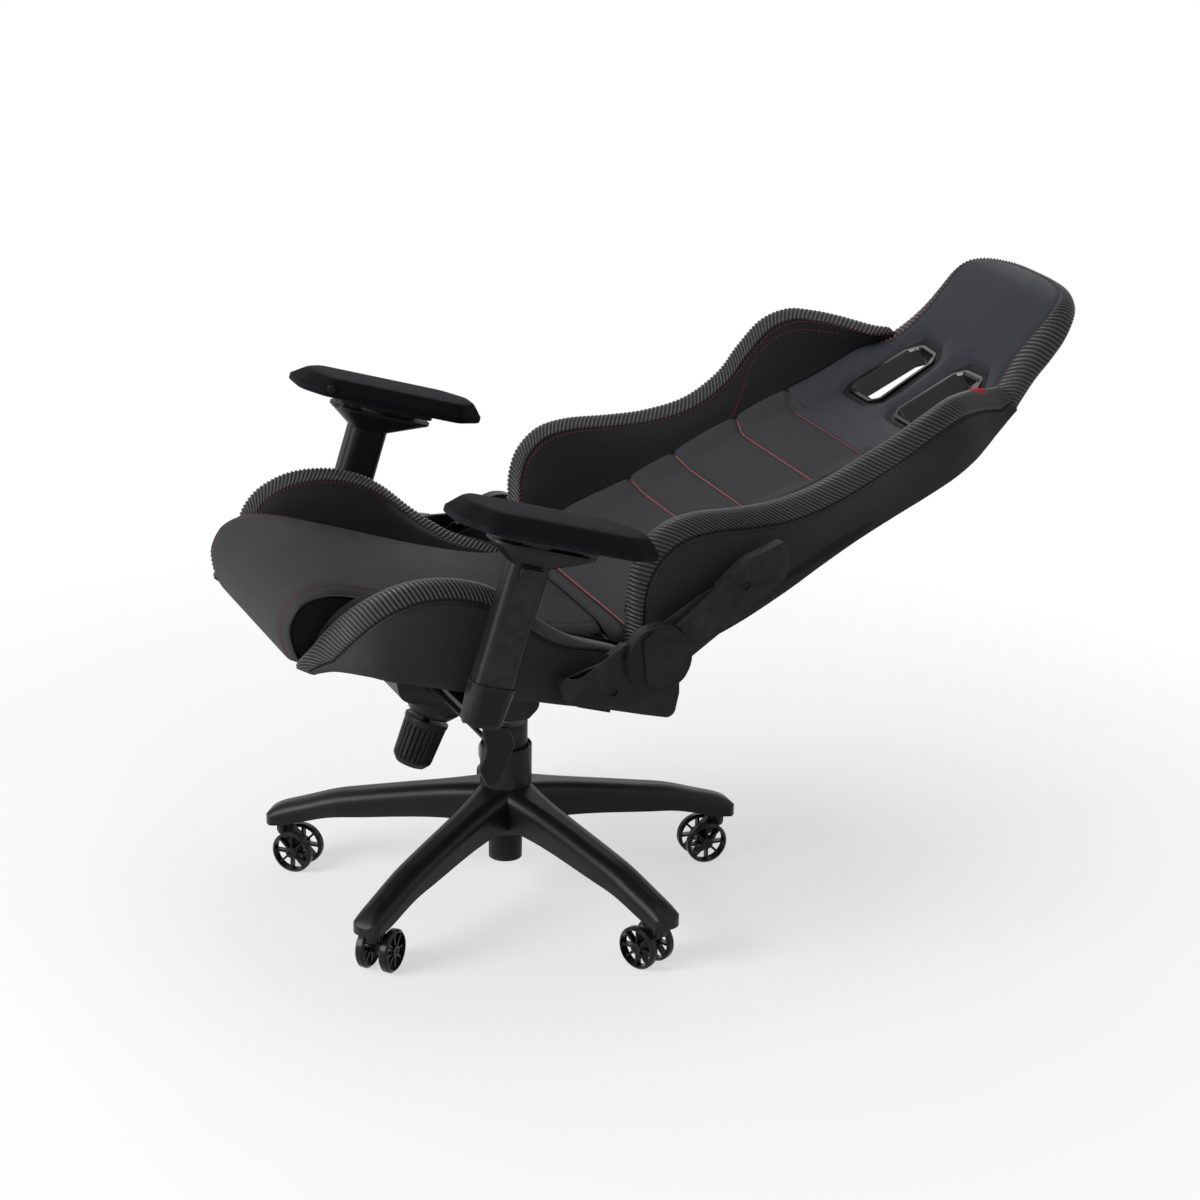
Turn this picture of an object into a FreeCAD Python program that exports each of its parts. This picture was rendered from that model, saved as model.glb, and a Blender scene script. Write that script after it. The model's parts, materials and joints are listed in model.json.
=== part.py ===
import FreeCAD, Part

# Reclining bucket-seat office chair, in millimetres.
# Origin: on the floor, on the gas lift's axis. -Y is the front, +X the sitter's left, +Z up.
# The seat is modelled level and the backrest upright at the hinge; both are then leaned into
# the rest pose: the seat rocked back on its tilt pivot, and the backrest reclined.

import math
import os

# ---- Rest pose -----------------------------------------------------------------------------
SEAT_TILT = 17.0          # seat rocked back from level
BACK_RECLINE = 45.0       # backrest laid back from square to the seat

# ---- Clearances ----------------------------------------------------------------------------
RUNNING = 0.05            # radial gap of a turning or sliding fit
GAP = 0.5                 # gap between separate bodies that pass each other
SHORT_SIDE = 0.1          # least straight run left between a rounded outline's corners

# ---- Star base and casters -----------------------------------------------------------------
WHEEL_RADIUS = 30.0
TREAD_CLEARANCE = 3.0     # from the wheels' tops up to the stem's boss
STEM_BOSS_BOTTOM = 2.0 * WHEEL_RADIUS + TREAD_CLEARANCE
TIP_UNDERSIDE = STEM_BOSS_BOTTOM + 3.0
ARM_COUNT = 5
FIRST_ARM_ANGLE = 18.0
CASTER_CIRCLE = 325.0
TIP_OVERHANG = 24.0       # of an arm past its caster's stem
ARM_TIP_RADIUS = CASTER_CIRCLE + TIP_OVERHANG
ARM_WALL = 5.0
ARM_TIP_WIDTH = 42.0
ARM_EDGE_ROUND = 17.0
ARM_ROUND_SHARE = 0.62    # most of a section's height that its edge round may take
ARM_STATIONS = (          # radius, width, underside, top
    (24.0, 66.0, 112.0, 167.0),
    (60.0, 54.0, 111.0, 160.0),
    (100.0, 48.0, 108.0, 152.5),
    (160.0, 46.0, 101.0, 141.0),
    (220.0, 45.0, 93.0, 129.0),
    (CASTER_CIRCLE - 45.0, 44.0, TIP_UNDERSIDE + 15.0, TIP_UNDERSIDE + 46.0),
    (CASTER_CIRCLE - 5.0, 43.0, TIP_UNDERSIDE + 3.0, TIP_UNDERSIDE + 32.5),
    (ARM_TIP_RADIUS - 8.0, 42.0, TIP_UNDERSIDE, TIP_UNDERSIDE + 21.0),
    (ARM_TIP_RADIUS + 1.0, 41.0, TIP_UNDERSIDE, TIP_UNDERSIDE + 10.0),
)
HUB_RADIUS = 44.0
HUB_TOP = 146.0
HUB_BOTTOM = 96.0
WHEEL_WIDTH = 13.0
WHEEL_RIM = 4.5
WHEEL_SPOKES = 8
WHEEL_HUB = 8.0
WHEEL_SPACING = 17.5      # from the caster's middle plane to each wheel's middle
FORK_HALF_WIDTH = 5.0
FORK_BOSS = 9.0           # radius of the fork's ends, round the stem and the axle
CASTER_TRAIL = 22.0
CASTER_HEADINGS = (207.0, 268.0, 342.0, 45.0, 133.0)
AXLE_RADIUS = 4.0
STEM_RADIUS = 5.5
STEM_LENGTH = 25.0
STEM_SHOULDER = 0.6       # gap between the arm's boss and the fork

# ---- Gas lift and its cover ----------------------------------------------------------------
LIFT_TRAVEL = 80.0
TUBE_RADIUS = 25.0
TUBE_FOOT_RADIUS = TUBE_RADIUS - 1.8
TUBE_WALL = 2.5
TUBE_FOOT = 52.0
TUBE_TOP = 236.0
FOOT_PLATE = 4.0
FOOT_RECESS = 4.0
ROD_RADIUS = 5.0
PISTON_LENGTH = 15.0
PISTON_ROOM = 35.0        # left under the piston at the top of the travel
CYLINDER_RADIUS = 14.0
CYLINDER_BORE = 11.0
CYLINDER_FOOT = 80.0
CYLINDER_GUIDE = 20.0
TAPER_FOOT = 268.0
TAPER_TOP = 312.0
TAPER_TOP_RADIUS = 13.2
VALVE_RADIUS = 4.0
COVER_RADII = (TUBE_RADIUS + 11.0, TUBE_RADIUS + 8.0, TUBE_RADIUS + 5.0)
COVER_WALL = 1.6
COVER_TOPS = (222.0, 219.0, 256.0)

# ---- Tilt mechanism ------------------------------------------------------------------------
PIVOT_Y = -45.0
PIVOT_Z = 325.0
SHAFT_RADIUS = 8.0
HOUSING_HALF_WIDTH = 58.0
HOUSING_WALL = 4.0
SOCKET_RADIUS = 24.0
HOUSING_FOOT = 277.0
FLANGE_GAP = 4.0
FRAME_WALL = 4.0
PLATE_HALF_WIDTH = 75.0
PLATE_TOP = 356.0
BOX_FRONT = -190.0
BOX_FOOT = 293.0
KNOB_Y = -98.0
KNOB_RAKE = 5.0
KNOB_TOP = 257.0
KNOB_LENGTH = 69.0
KNOB_RADIUS = 30.0
KNOB_FLUTES = 24
FLUTE_DEPTH = 2.4
BOLT_RADIUS = 5.0
CUP_RADIUS = 40.0
CUP_FOOT = 262.0
LEVER_Y = -127.0
LEVER_Z = 317.0
LEVER_ROD_RADIUS = 3.5
BARREL_X = 72.0           # the lever's trunnion barrel, outside the frame's flange
BARREL_RADIUS = 5.6
BARREL_HALF = 8.0
TRUNNION_RADIUS = 2.5
TRUNNION_EAR = 5.0
LEVER_REACH = 262.0
PADDLE_THICKNESS = 8.0

# ---- Seat, in level coordinates ------------------------------------------------------------
HINGE_Y = 56.8
HINGE_Z = 475.9
SEAT_HALF_WIDTH = 270.0
CENTRE_HALF_WIDTH = 172.0
SEAT_FRONT = -412.0
SEAT_TOP = 457.0
SEAT_REAR = 104.0
FRAME_TUBE = 16.0
FRAME_HALF_WIDTH = SEAT_HALF_WIDTH - 70.0
BAR_DEPTH = 14.0
BAR_END = 4.0             # depth of the tapered bars at their ends
BRACKET_THICKNESS = 5.0

# ---- Recliner ------------------------------------------------------------------------------
HINGE_PIN_RADIUS = 10.0
HINGE_PLATE = 4.0
HINGE_PLATE_X = SEAT_HALF_WIDTH + 1.5    # inner face of the seat's hinge plate
HINGE_DISC_RADIUS = 36.0
COVER_DISC_RADIUS = 46.0
SIDE_COVER_OUTER_X = HINGE_PLATE_X + 18.5
CAP_THICKNESS = 14.0
SPINDLE_RADIUS = 6.0
CAP_PANEL = (             # raised D on the hinge cap: y, z from the hinge, rounding
    (-33.0, 20.0, 9.0), (-10.0, -34.0, 11.0), (20.0, -42.0, 20.0), (42.0, -16.0, 24.0),
    (42.0, 18.0, 24.0), (16.0, 44.0, 24.0), (-20.0, 42.0, 18.0),
)

# ---- Backrest, upright, from the hinge -----------------------------------------------------
BACK_HALF_WIDTH = SEAT_HALF_WIDTH - 8.0
BACK_CENTRE_HALF_WIDTH = 135.0
BACK_BOTTOM = 12.0
CENTRE_TOP = 437.0
BACK_TOP = 806.0
UPRIGHT_X = BACK_HALF_WIDTH - 57.0
ROLL_RADIUS = 34.0
ROLL_HALF_WIDTH = 188.0
BACK_TUBE_RADIUS = 9.0
BEZEL_WALL = 8.0
BEZEL_FRONT = 36.0        # depth of the cut-out frames' front and rear faces
BEZEL_REAR = 66.0
BEZEL_CHAMFER = 3.0
WING_ROOT = 24.0          # thickness of a full wing along its seam with the centre
WING_LOW = 60.0           # a wing lower than this has half that thickness

# ---- Armrests, in level coordinates --------------------------------------------------------
POST_X = SEAT_HALF_WIDTH + 38.0
POST_Y = -170.5
POST_LENGTH = 56.0        # front to back
POST_WIDTH = 36.0
POST_ROUND = 13.0
POST_WALL = 3.0
CORE_WALL = 2.5
CORE_TOP = 560.0
TONGUE_WIDTH = 48.0
CORE_LINER = 1.0          # between the upright core and the sleeve, each side
BUTTON_TRAVEL = 3.0
BUTTON_HALF = 16.0
BUTTON_FOOT = 558.0
BUTTON_TOP = 570.0
BUTTON_PROUD = 5.0
CAP_FOOT = 352.0
SLEEVE_FOOT = 410.0
FLARE_FOOT = 572.0
FLARE_TOP = 599.0
ARM_PLATE = 5.0
PAD_FOOT = 613.0
PAD_TOP = 640.0
PAD_FRONT = -296.0
PAD_REAR = -10.0
PAD_INNER_X = POST_X - 44.0
PAD_OUTER_X = POST_X + 60.0
PAD_BEVEL = 18.0
PAD_BEVEL_DROP = 12.0


# ---- Drawing helpers -----------------------------------------------------------------------
def vec(x, y, z):
    """A point or direction."""
    return FreeCAD.Vector(x, y, z)


def on_yz(x):
    """Maps a (y, z) outline onto the plane at x."""
    return lambda u, v: vec(x, u, v)


def on_xy(z):
    """Maps an (x, y) outline onto the plane at z."""
    return lambda u, v: vec(u, v, z)


def on_xz(y):
    """Maps an (x, z) outline onto the plane at y."""
    return lambda u, v: vec(u, y, v)


def corner_round(before, corner, after):
    """Start, middle and end of the arc that rounds a corner given as (u, v, radius)."""
    u, v, radius = corner
    back = (before[0] - u, before[1] - v)
    ahead = (after[0] - u, after[1] - v)
    back_length = math.hypot(*back)
    ahead_length = math.hypot(*ahead)
    back = (back[0] / back_length, back[1] / back_length)
    ahead = (ahead[0] / ahead_length, ahead[1] / ahead_length)
    if radius <= 0.0:
        return (u, v), (u, v), (u, v)
    half = math.acos(max(-1.0, min(1.0, back[0] * ahead[0] + back[1] * ahead[1]))) / 2.0
    cut = radius / math.tan(half)
    middle = (back[0] + ahead[0], back[1] + ahead[1])
    middle_length = math.hypot(*middle)
    reach = radius / math.sin(half) - radius
    return (
        (u + back[0] * cut, v + back[1] * cut),
        (u + middle[0] / middle_length * reach, v + middle[1] / middle_length * reach),
        (u + ahead[0] * cut, v + ahead[1] * cut),
    )


def outline(corners, lift):
    """Closed wire through (u, v, radius) corners, laid into space by lift."""
    count = len(corners)
    rounds = [
        corner_round(corners[i - 1], corners[i], corners[(i + 1) % count]) for i in range(count)
    ]
    edges = []
    for i, (start, middle, end) in enumerate(rounds):
        if corners[i][2] > 0.0:
            edges.append(Part.Arc(lift(*start), lift(*middle), lift(*end)).toShape())
        following = rounds[(i + 1) % count][0]
        if math.hypot(end[0] - following[0], end[1] - following[1]) > 1e-6:
            edges.append(Part.LineSegment(lift(*end), lift(*following)).toShape())
    return Part.Wire(edges)


def side_slab(corners, x_low, x_high):
    """A (y, z) outline extruded along X."""
    return Part.Face(outline(corners, on_yz(x_low))).extrude(vec(x_high - x_low, 0, 0))


def flat_slab(corners, z_low, z_high):
    """An (x, y) outline extruded upwards."""
    return Part.Face(outline(corners, on_xy(z_low))).extrude(vec(0, 0, z_high - z_low))


def front_slab(corners, y_low, y_high):
    """An (x, z) outline extruded along Y."""
    return Part.Face(outline(corners, on_xz(y_low))).extrude(vec(0, y_high - y_low, 0))


def oblong(centre_x, centre_y, length_x, length_y, radius):
    """Corners of a rounded rectangle about a centre, its rounds kept within its short sides."""
    half_x = length_x / 2.0
    half_y = length_y / 2.0
    radius = min(radius, half_x - SHORT_SIDE, half_y - SHORT_SIDE)
    return [
        (centre_x - half_x, centre_y - half_y, radius),
        (centre_x + half_x, centre_y - half_y, radius),
        (centre_x + half_x, centre_y + half_y, radius),
        (centre_x - half_x, centre_y + half_y, radius),
    ]


def box(x_low, x_high, y_low, y_high, z_low, z_high):
    """A plain block between two corners."""
    return Part.makeBox(x_high - x_low, y_high - y_low, z_high - z_low, vec(x_low, y_low, z_low))


def rod(radius, start, end):
    """A round bar from one point to another."""
    along = end - start
    return Part.makeCylinder(radius, along.Length, start, along)


def turned(profile):
    """An (r, z) outline turned about the Z axis."""
    return Part.Face(outline(profile, on_xz(0.0))).revolve(vec(0, 0, 0), vec(0, 0, 1), 360.0)


def pipe(outer, inner, z_low, z_high):
    """A plain round sleeve on the Z axis."""
    return turned([(inner, z_low, 0), (outer, z_low, 0), (outer, z_high, 0), (inner, z_high, 0)])


def joined(shapes):
    """One solid out of overlapping ones."""
    whole = shapes[0]
    for shape in shapes[1:]:
        whole = whole.fuse(shape)
    return whole.removeSplitter()


def mirrored(shape):
    """The same piece for the other side of the chair."""
    return shape.mirror(vec(0, 0, 0), vec(1, 0, 0))


def about_z(shape, angle):
    """A copy turned about the Z axis."""
    copy = shape.copy()
    copy.rotate(vec(0, 0, 0), vec(0, 0, 1), angle)
    return copy


def rocked(shape):
    """A level seat part, rocked back into the rest pose."""
    copy = shape.copy()
    copy.rotate(vec(0, PIVOT_Y, PIVOT_Z), vec(1, 0, 0), -SEAT_TILT)
    return copy


def reclined(shape):
    """An upright backrest part, set on the hinge and laid back into the rest pose."""
    copy = shape.copy()
    copy.translate(vec(0, HINGE_Y, HINGE_Z))
    copy.rotate(vec(0, HINGE_Y, HINGE_Z), vec(1, 0, 0), -BACK_RECLINE)
    return rocked(copy)


def raked(shape):
    """A part modelled upright on the tension knob's axis, raked to the knob's angle."""
    copy = shape.copy()
    copy.translate(vec(0, KNOB_Y, 0))
    copy.rotate(vec(0, KNOB_Y, KNOB_TOP), vec(1, 0, 0), -KNOB_RAKE)
    return copy


# ---- Star base -----------------------------------------------------------------------------
def arm_section(station):
    """Wire across a base arm at one station."""
    radius, width, foot, top = station
    half = width / 2.0
    edge = min(ARM_EDGE_ROUND, (top - foot) * ARM_ROUND_SHARE)
    corners = [
        (-half, foot, 0),
        (half, foot, 0),
        (half, top, edge),
        (-half, top, edge),
    ]
    return outline(corners, on_yz(radius))


def arm_hollow():
    """The pocket under a base arm, one wall in from its outside."""
    wires = []
    for radius, width, foot, top in ARM_STATIONS[1:6]:
        half = width / 2.0 - ARM_WALL
        low = foot - 30.0
        roof = top - ARM_WALL
        corners = [(-half, low, 0), (half, low, 0), (half, roof - 8, 0), (half - 8, roof, 0),
                   (8 - half, roof, 0), (-half, roof - 8, 0)]
        wires.append(outline(corners, on_yz(radius)))
    return Part.makeLoft(wires, True, True)


def base_arm():
    """One hollow cast arm with its ribs and stem boss, along +X."""
    body = Part.makeLoft([arm_section(station) for station in ARM_STATIONS], True, False)
    half_tip = ARM_TIP_WIDTH / 2.0
    tip = flat_slab(
        [
            (0, -half_tip * 3, 0),
            (ARM_TIP_RADIUS - half_tip * 2, -half_tip * 3, 0),
            (ARM_TIP_RADIUS - half_tip * 2, -half_tip - 6, 6),
            (ARM_TIP_RADIUS, -half_tip, half_tip - 1.0),
            (ARM_TIP_RADIUS, half_tip, half_tip - 1.0),
            (ARM_TIP_RADIUS - half_tip * 2, half_tip + 6, 6),
            (ARM_TIP_RADIUS - half_tip * 2, half_tip * 3, 0),
            (0, half_tip * 3, 0),
        ],
        0,
        200,
    )
    body = body.common(tip)
    ribs = []
    for station in ARM_STATIONS[2:5]:
        radius = station[0]
        rib = box(radius - 1.5, radius + 1.5, -40, 40, station[2] + 6.0, 200)
        ribs.append(rib.common(body))
    boss = Part.makeCylinder(STEM_RADIUS + 7.0, 25, vec(CASTER_CIRCLE, 0, STEM_BOSS_BOTTOM))
    bore = Part.makeCylinder(
        STEM_RADIUS + RUNNING, STEM_LENGTH + 1.0, vec(CASTER_CIRCLE, 0, STEM_BOSS_BOTTOM)
    )
    return joined([body.cut(arm_hollow())] + ribs + [boss]).cut(bore)


def star_base():
    """Five arms on a tapered hub."""
    arm = base_arm()
    hub = turned([
        (TUBE_FOOT_RADIUS - 3.0, HUB_BOTTOM, 0),
        (HUB_RADIUS - 8.0, HUB_BOTTOM, 4),
        (HUB_RADIUS, HUB_BOTTOM + 12.0, 6),
        (HUB_RADIUS, HUB_TOP, 0),
        (TUBE_FOOT_RADIUS - 3.0, HUB_TOP, 0),
    ])
    reach = ARM_TIP_RADIUS + 50.0
    half = math.tan(math.pi / ARM_COUNT) * reach
    arm = arm.common(flat_slab([(0, 0, 0), (reach, -half, 0), (reach, half, 0)], 0, 200))
    sleeve_seat = Part.makeCylinder(COVER_RADII[0], 60, vec(0, 0, HUB_TOP))
    arm = arm.cut(tube_outside()).cut(sleeve_seat)
    arms = [about_z(arm, FIRST_ARM_ANGLE + 360.0 / ARM_COUNT * i) for i in range(ARM_COUNT)]
    return joined([hub.cut(tube_outside())] + arms)


# ---- Casters -------------------------------------------------------------------------------
def caster_frame(index):
    """Stem centre, and the direction the caster trails in, of one caster."""
    angle = math.radians(FIRST_ARM_ANGLE + 360.0 / ARM_COUNT * index)
    stem = vec(CASTER_CIRCLE * math.cos(angle), CASTER_CIRCLE * math.sin(angle), 0)
    return stem, CASTER_HEADINGS[index]


def set_caster(shape, index):
    """Places a part modelled with its stem on the Z axis and trailing along +X."""
    stem, heading = caster_frame(index)
    copy = about_z(shape, heading)
    copy.translate(stem)
    return copy


def caster_fork():
    """Slim spine between the wheels, with its axle and stem, trailing along +X."""
    top = STEM_BOSS_BOTTOM - STEM_SHOULDER
    rear = CASTER_TRAIL + FORK_BOSS
    front = CASTER_TRAIL - FORK_BOSS
    spine = front_slab(
        [
            (-FORK_BOSS, top - 11.0, 4),
            (-FORK_BOSS, top, 1),
            (FORK_BOSS + 4.0, top, 4),
            (rear, WHEEL_RADIUS + 18.0, 12),
            (rear, WHEEL_RADIUS - FORK_BOSS, 8),
            (front, WHEEL_RADIUS - FORK_BOSS, 8),
            (front, WHEEL_RADIUS + 10.0, 8),
        ],
        -FORK_HALF_WIDTH,
        FORK_HALF_WIDTH,
    )
    collar = Part.makeCylinder(FORK_BOSS, 13.0, vec(0, 0, top - 13.0))
    axle_half = WHEEL_SPACING + WHEEL_WIDTH / 2.0 - 1.0
    axle = Part.makeCylinder(
        AXLE_RADIUS, axle_half * 2, vec(CASTER_TRAIL, -axle_half, WHEEL_RADIUS), vec(0, 1, 0)
    )
    stem = Part.makeCylinder(STEM_RADIUS, STEM_LENGTH, vec(0, 0, top))
    return joined([spine, collar, axle, stem])


def caster_wheel():
    """One open-spoked wheel about the Y axis, its hub reaching inwards to the fork."""
    half = WHEEL_WIDTH / 2.0
    inner = WHEEL_RADIUS - WHEEL_RIM
    axis = vec(0, 1, 0)
    start = vec(0, -half, 0)
    tread = turned([
        (inner, -half, 0),
        (WHEEL_RADIUS - 3.0, -half, 0),
        (WHEEL_RADIUS, -half + 3.0, 0),
        (WHEEL_RADIUS, half - 3.0, 0),
        (WHEEL_RADIUS - 3.0, half, 0),
        (inner, half, 0),
    ])
    tread.rotate(vec(0, 0, 0), vec(1, 0, 0), -90)
    inward = WHEEL_SPACING - half - FORK_HALF_WIDTH - GAP
    hub = Part.makeCylinder(WHEEL_HUB, WHEEL_WIDTH + inward, start - axis * inward, axis)
    spokes = []
    for i in range(WHEEL_SPOKES):
        spoke = box(WHEEL_HUB - 2.0, inner + 1.0, -half + 2.0, half - 2.0, -1.6, 1.6)
        spoke.rotate(vec(0, 0, 0), axis, 360.0 / WHEEL_SPOKES * i)
        spokes.append(spoke)
    bore = Part.makeCylinder(AXLE_RADIUS + RUNNING, WHEEL_WIDTH * 3, start - axis * WHEEL_WIDTH, axis)
    return joined([tread, hub] + spokes).cut(bore)


def caster_wheels():
    """The pair of wheels of one caster."""
    near = caster_wheel()
    near.translate(vec(CASTER_TRAIL, WHEEL_SPACING, WHEEL_RADIUS))
    return Part.makeCompound([near, near.mirror(vec(0, 0, 0), vec(0, 1, 0))])


# ---- Gas lift ------------------------------------------------------------------------------
def tube_profile():
    """Outside of the gas lift's tube as (r, z) corners from foot to top."""
    return [
        (TUBE_FOOT_RADIUS, TUBE_FOOT, 0),
        (TUBE_FOOT_RADIUS + 0.4, HUB_BOTTOM, 0),
        (TUBE_RADIUS, HUB_TOP, 0),
        (TUBE_RADIUS, TUBE_TOP, 0),
    ]


def tube_outside():
    """The solid the hub's tapered bore is cut with."""
    return turned([(0, TUBE_FOOT, 0)] + tube_profile() + [(0, TUBE_TOP, 0)])


def gas_lift_tube():
    """Tapered tube with a recessed foot plate."""
    inner = TUBE_RADIUS - TUBE_WALL - 0.5
    plate = TUBE_FOOT + FOOT_RECESS
    bore = ROD_RADIUS + RUNNING
    return turned(
        tube_profile()
        + [
            (inner, TUBE_TOP, 0),
            (inner, plate + FOOT_PLATE, 0),
            (bore, plate + FOOT_PLATE, 0),
            (bore, plate, 0),
            (TUBE_FOOT_RADIUS - TUBE_WALL, plate, 0),
            (TUBE_FOOT_RADIUS - TUBE_WALL, TUBE_FOOT, 0),
        ]
    )


def gas_lift_bush():
    """Plastic guide that the cylinder slides in."""
    inner = TUBE_RADIUS - TUBE_WALL - 0.5
    return pipe(inner, CYLINDER_RADIUS + RUNNING, TUBE_TOP - 40.0, TUBE_TOP)


def bearing_foot():
    """Height of the thrust bearing's lower face."""
    return TUBE_FOOT + FOOT_RECESS + FOOT_PLATE + 0.1


def piston_rod():
    """Rod with its shoulder, piston and end clip."""
    plate = TUBE_FOOT + FOOT_RECESS
    shoulder = bearing_foot() + 5.8
    piston_top = CYLINDER_FOOT + CYLINDER_GUIDE + LIFT_TRAVEL + PISTON_LENGTH + PISTON_ROOM
    shaft = turned([
        (0, TUBE_FOOT + 1.0, 0),
        (ROD_RADIUS, TUBE_FOOT + 1.0, 0),
        (ROD_RADIUS, shoulder, 0),
        (ROD_RADIUS + 4.0, shoulder, 0),
        (ROD_RADIUS + 4.0, shoulder + 4.0, 0),
        (ROD_RADIUS, shoulder + 4.0, 0),
        (ROD_RADIUS, piston_top - PISTON_LENGTH, 0),
        (CYLINDER_BORE - RUNNING, piston_top - PISTON_LENGTH, 0),
        (CYLINDER_BORE - RUNNING, piston_top, 0),
        (0, piston_top, 0),
    ])
    clip = pipe(ROD_RADIUS + 4.0, ROD_RADIUS, plate - 2.6, plate - 0.3)
    return Part.makeCompound([shaft, clip])


def thrust_bearing():
    """Two washers with the cage of rollers between them."""
    foot = bearing_foot()
    outer = ROD_RADIUS + 6.0
    lower = pipe(outer, ROD_RADIUS, foot, foot + 1.5)
    cage = pipe(outer - 1.0, ROD_RADIUS + 1.0, foot + 1.5, foot + 4.3)
    upper = pipe(outer, ROD_RADIUS, foot + 4.3, foot + 5.8)
    return joined([lower, cage, upper])


def taper_cone():
    """The taper that plugs the cylinder into the tilt housing."""
    return Part.makeCone(
        CYLINDER_RADIUS, TAPER_TOP_RADIUS, TAPER_TOP - TAPER_FOOT, vec(0, 0, TAPER_FOOT)
    )


def gas_cylinder():
    """Sliding cylinder with its guide, chamber, taper and valve pin."""
    outer = Part.makeCylinder(
        CYLINDER_RADIUS, TAPER_FOOT - CYLINDER_FOOT, vec(0, 0, CYLINDER_FOOT)
    )
    pin = Part.makeCylinder(VALVE_RADIUS, 6.0, vec(0, 0, TAPER_TOP))
    body = joined([outer, taper_cone(), pin])
    chamber_foot = CYLINDER_FOOT + CYLINDER_GUIDE
    chamber = Part.makeCylinder(CYLINDER_BORE, 152.0, vec(0, 0, chamber_foot))
    guide = Part.makeCylinder(ROD_RADIUS + RUNNING, 30.0, vec(0, 0, CYLINDER_FOOT - 1.0))
    return body.cut(chamber).cut(guide)


def cover_sleeve(index, foot):
    """One open sleeve of the telescopic cover, with a beaded rim."""
    outer = COVER_RADII[index]
    top = COVER_TOPS[index]
    inner = outer - COVER_WALL
    return turned([
        (inner, foot, 0),
        (outer, foot, 0),
        (outer, top - 1.0, 0),
        (outer - 0.6, top, 0),
        (inner, top, 0),
    ])


def upper_sleeve():
    """Inner sleeve, closed at the top round the cylinder."""
    sleeve = cover_sleeve(2, HUB_TOP + 7.0)
    top = COVER_TOPS[2]
    lid = pipe(COVER_RADII[2] - 0.6, CYLINDER_RADIUS, top - 2.0, top)
    return joined([sleeve, lid])


# ---- Tilt mechanism ------------------------------------------------------------------------
def tilt_housing():
    """Cast channel on the lift's taper, with the pivot tube and the spring's lug."""
    half = HOUSING_HALF_WIDTH
    wall = HOUSING_WALL
    side = [
        (-60, 308, 4),
        (-60, 341, 8),
        (-30, 341, 10),
        (26, 321, 6),
        (26, 292, 14),
        (10, HOUSING_FOOT, 10),
        (-22, HOUSING_FOOT, 10),
        (-46, 294, 4),
    ]
    body = side_slab(side, -half, half)
    inside = [
        (-60 + wall, 309 + wall, 2),
        (-60 + wall, 360, 0),
        (26 - wall, 360, 0),
        (26 - wall, 294, 10),
        (9, HOUSING_FOOT + wall, 8),
        (-21, HOUSING_FOOT + wall, 6),
        (-44, 297, 3),
    ]
    body = body.cut(side_slab(inside, -half + wall, half - wall))
    socket = Part.makeCylinder(SOCKET_RADIUS, TAPER_TOP - HOUSING_FOOT, vec(0, 0, HOUSING_FOOT))
    pivot = rod(SHAFT_RADIUS + 5.0, vec(-half, PIVOT_Y, PIVOT_Z), vec(half, PIVOT_Y, PIVOT_Z))
    lug = box(-20, 20, -125, -57, 324, 331)
    ribs = [box(x - 2, x + 2, -58, 24, 279, 306) for x in (-22.0, 22.0)]
    inner_solid = side_slab(side, -half + 1.0, half - 1.0)
    body = joined([body, socket, pivot, lug] + [rib.common(inner_solid) for rib in ribs])
    body = body.cut(taper_cone())
    hole = rod(
        SHAFT_RADIUS + RUNNING, vec(-half - 1, PIVOT_Y, PIVOT_Z), vec(half + 1, PIVOT_Y, PIVOT_Z)
    )
    bolt_slot = flat_slab(oblong(0, -99.5, 16, 28, 7.5), 320, 335)
    return body.cut(hole).cut(bolt_slot)


def frame_side():
    """Side outline of the seat's tilt frame."""
    return [
        (BOX_FRONT, PLATE_TOP - FRAME_WALL + 1.0, 0),
        (BOX_FRONT, BOX_FOOT + 30.0, 14),
        (BOX_FRONT + 16.0, BOX_FOOT, 22),
        (-78, BOX_FOOT, 0),
        (-62, BOX_FOOT + 4.0, 10),
        (28, 334, 8),
        (28, PLATE_TOP - FRAME_WALL + 1.0, 0),
    ]


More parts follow.
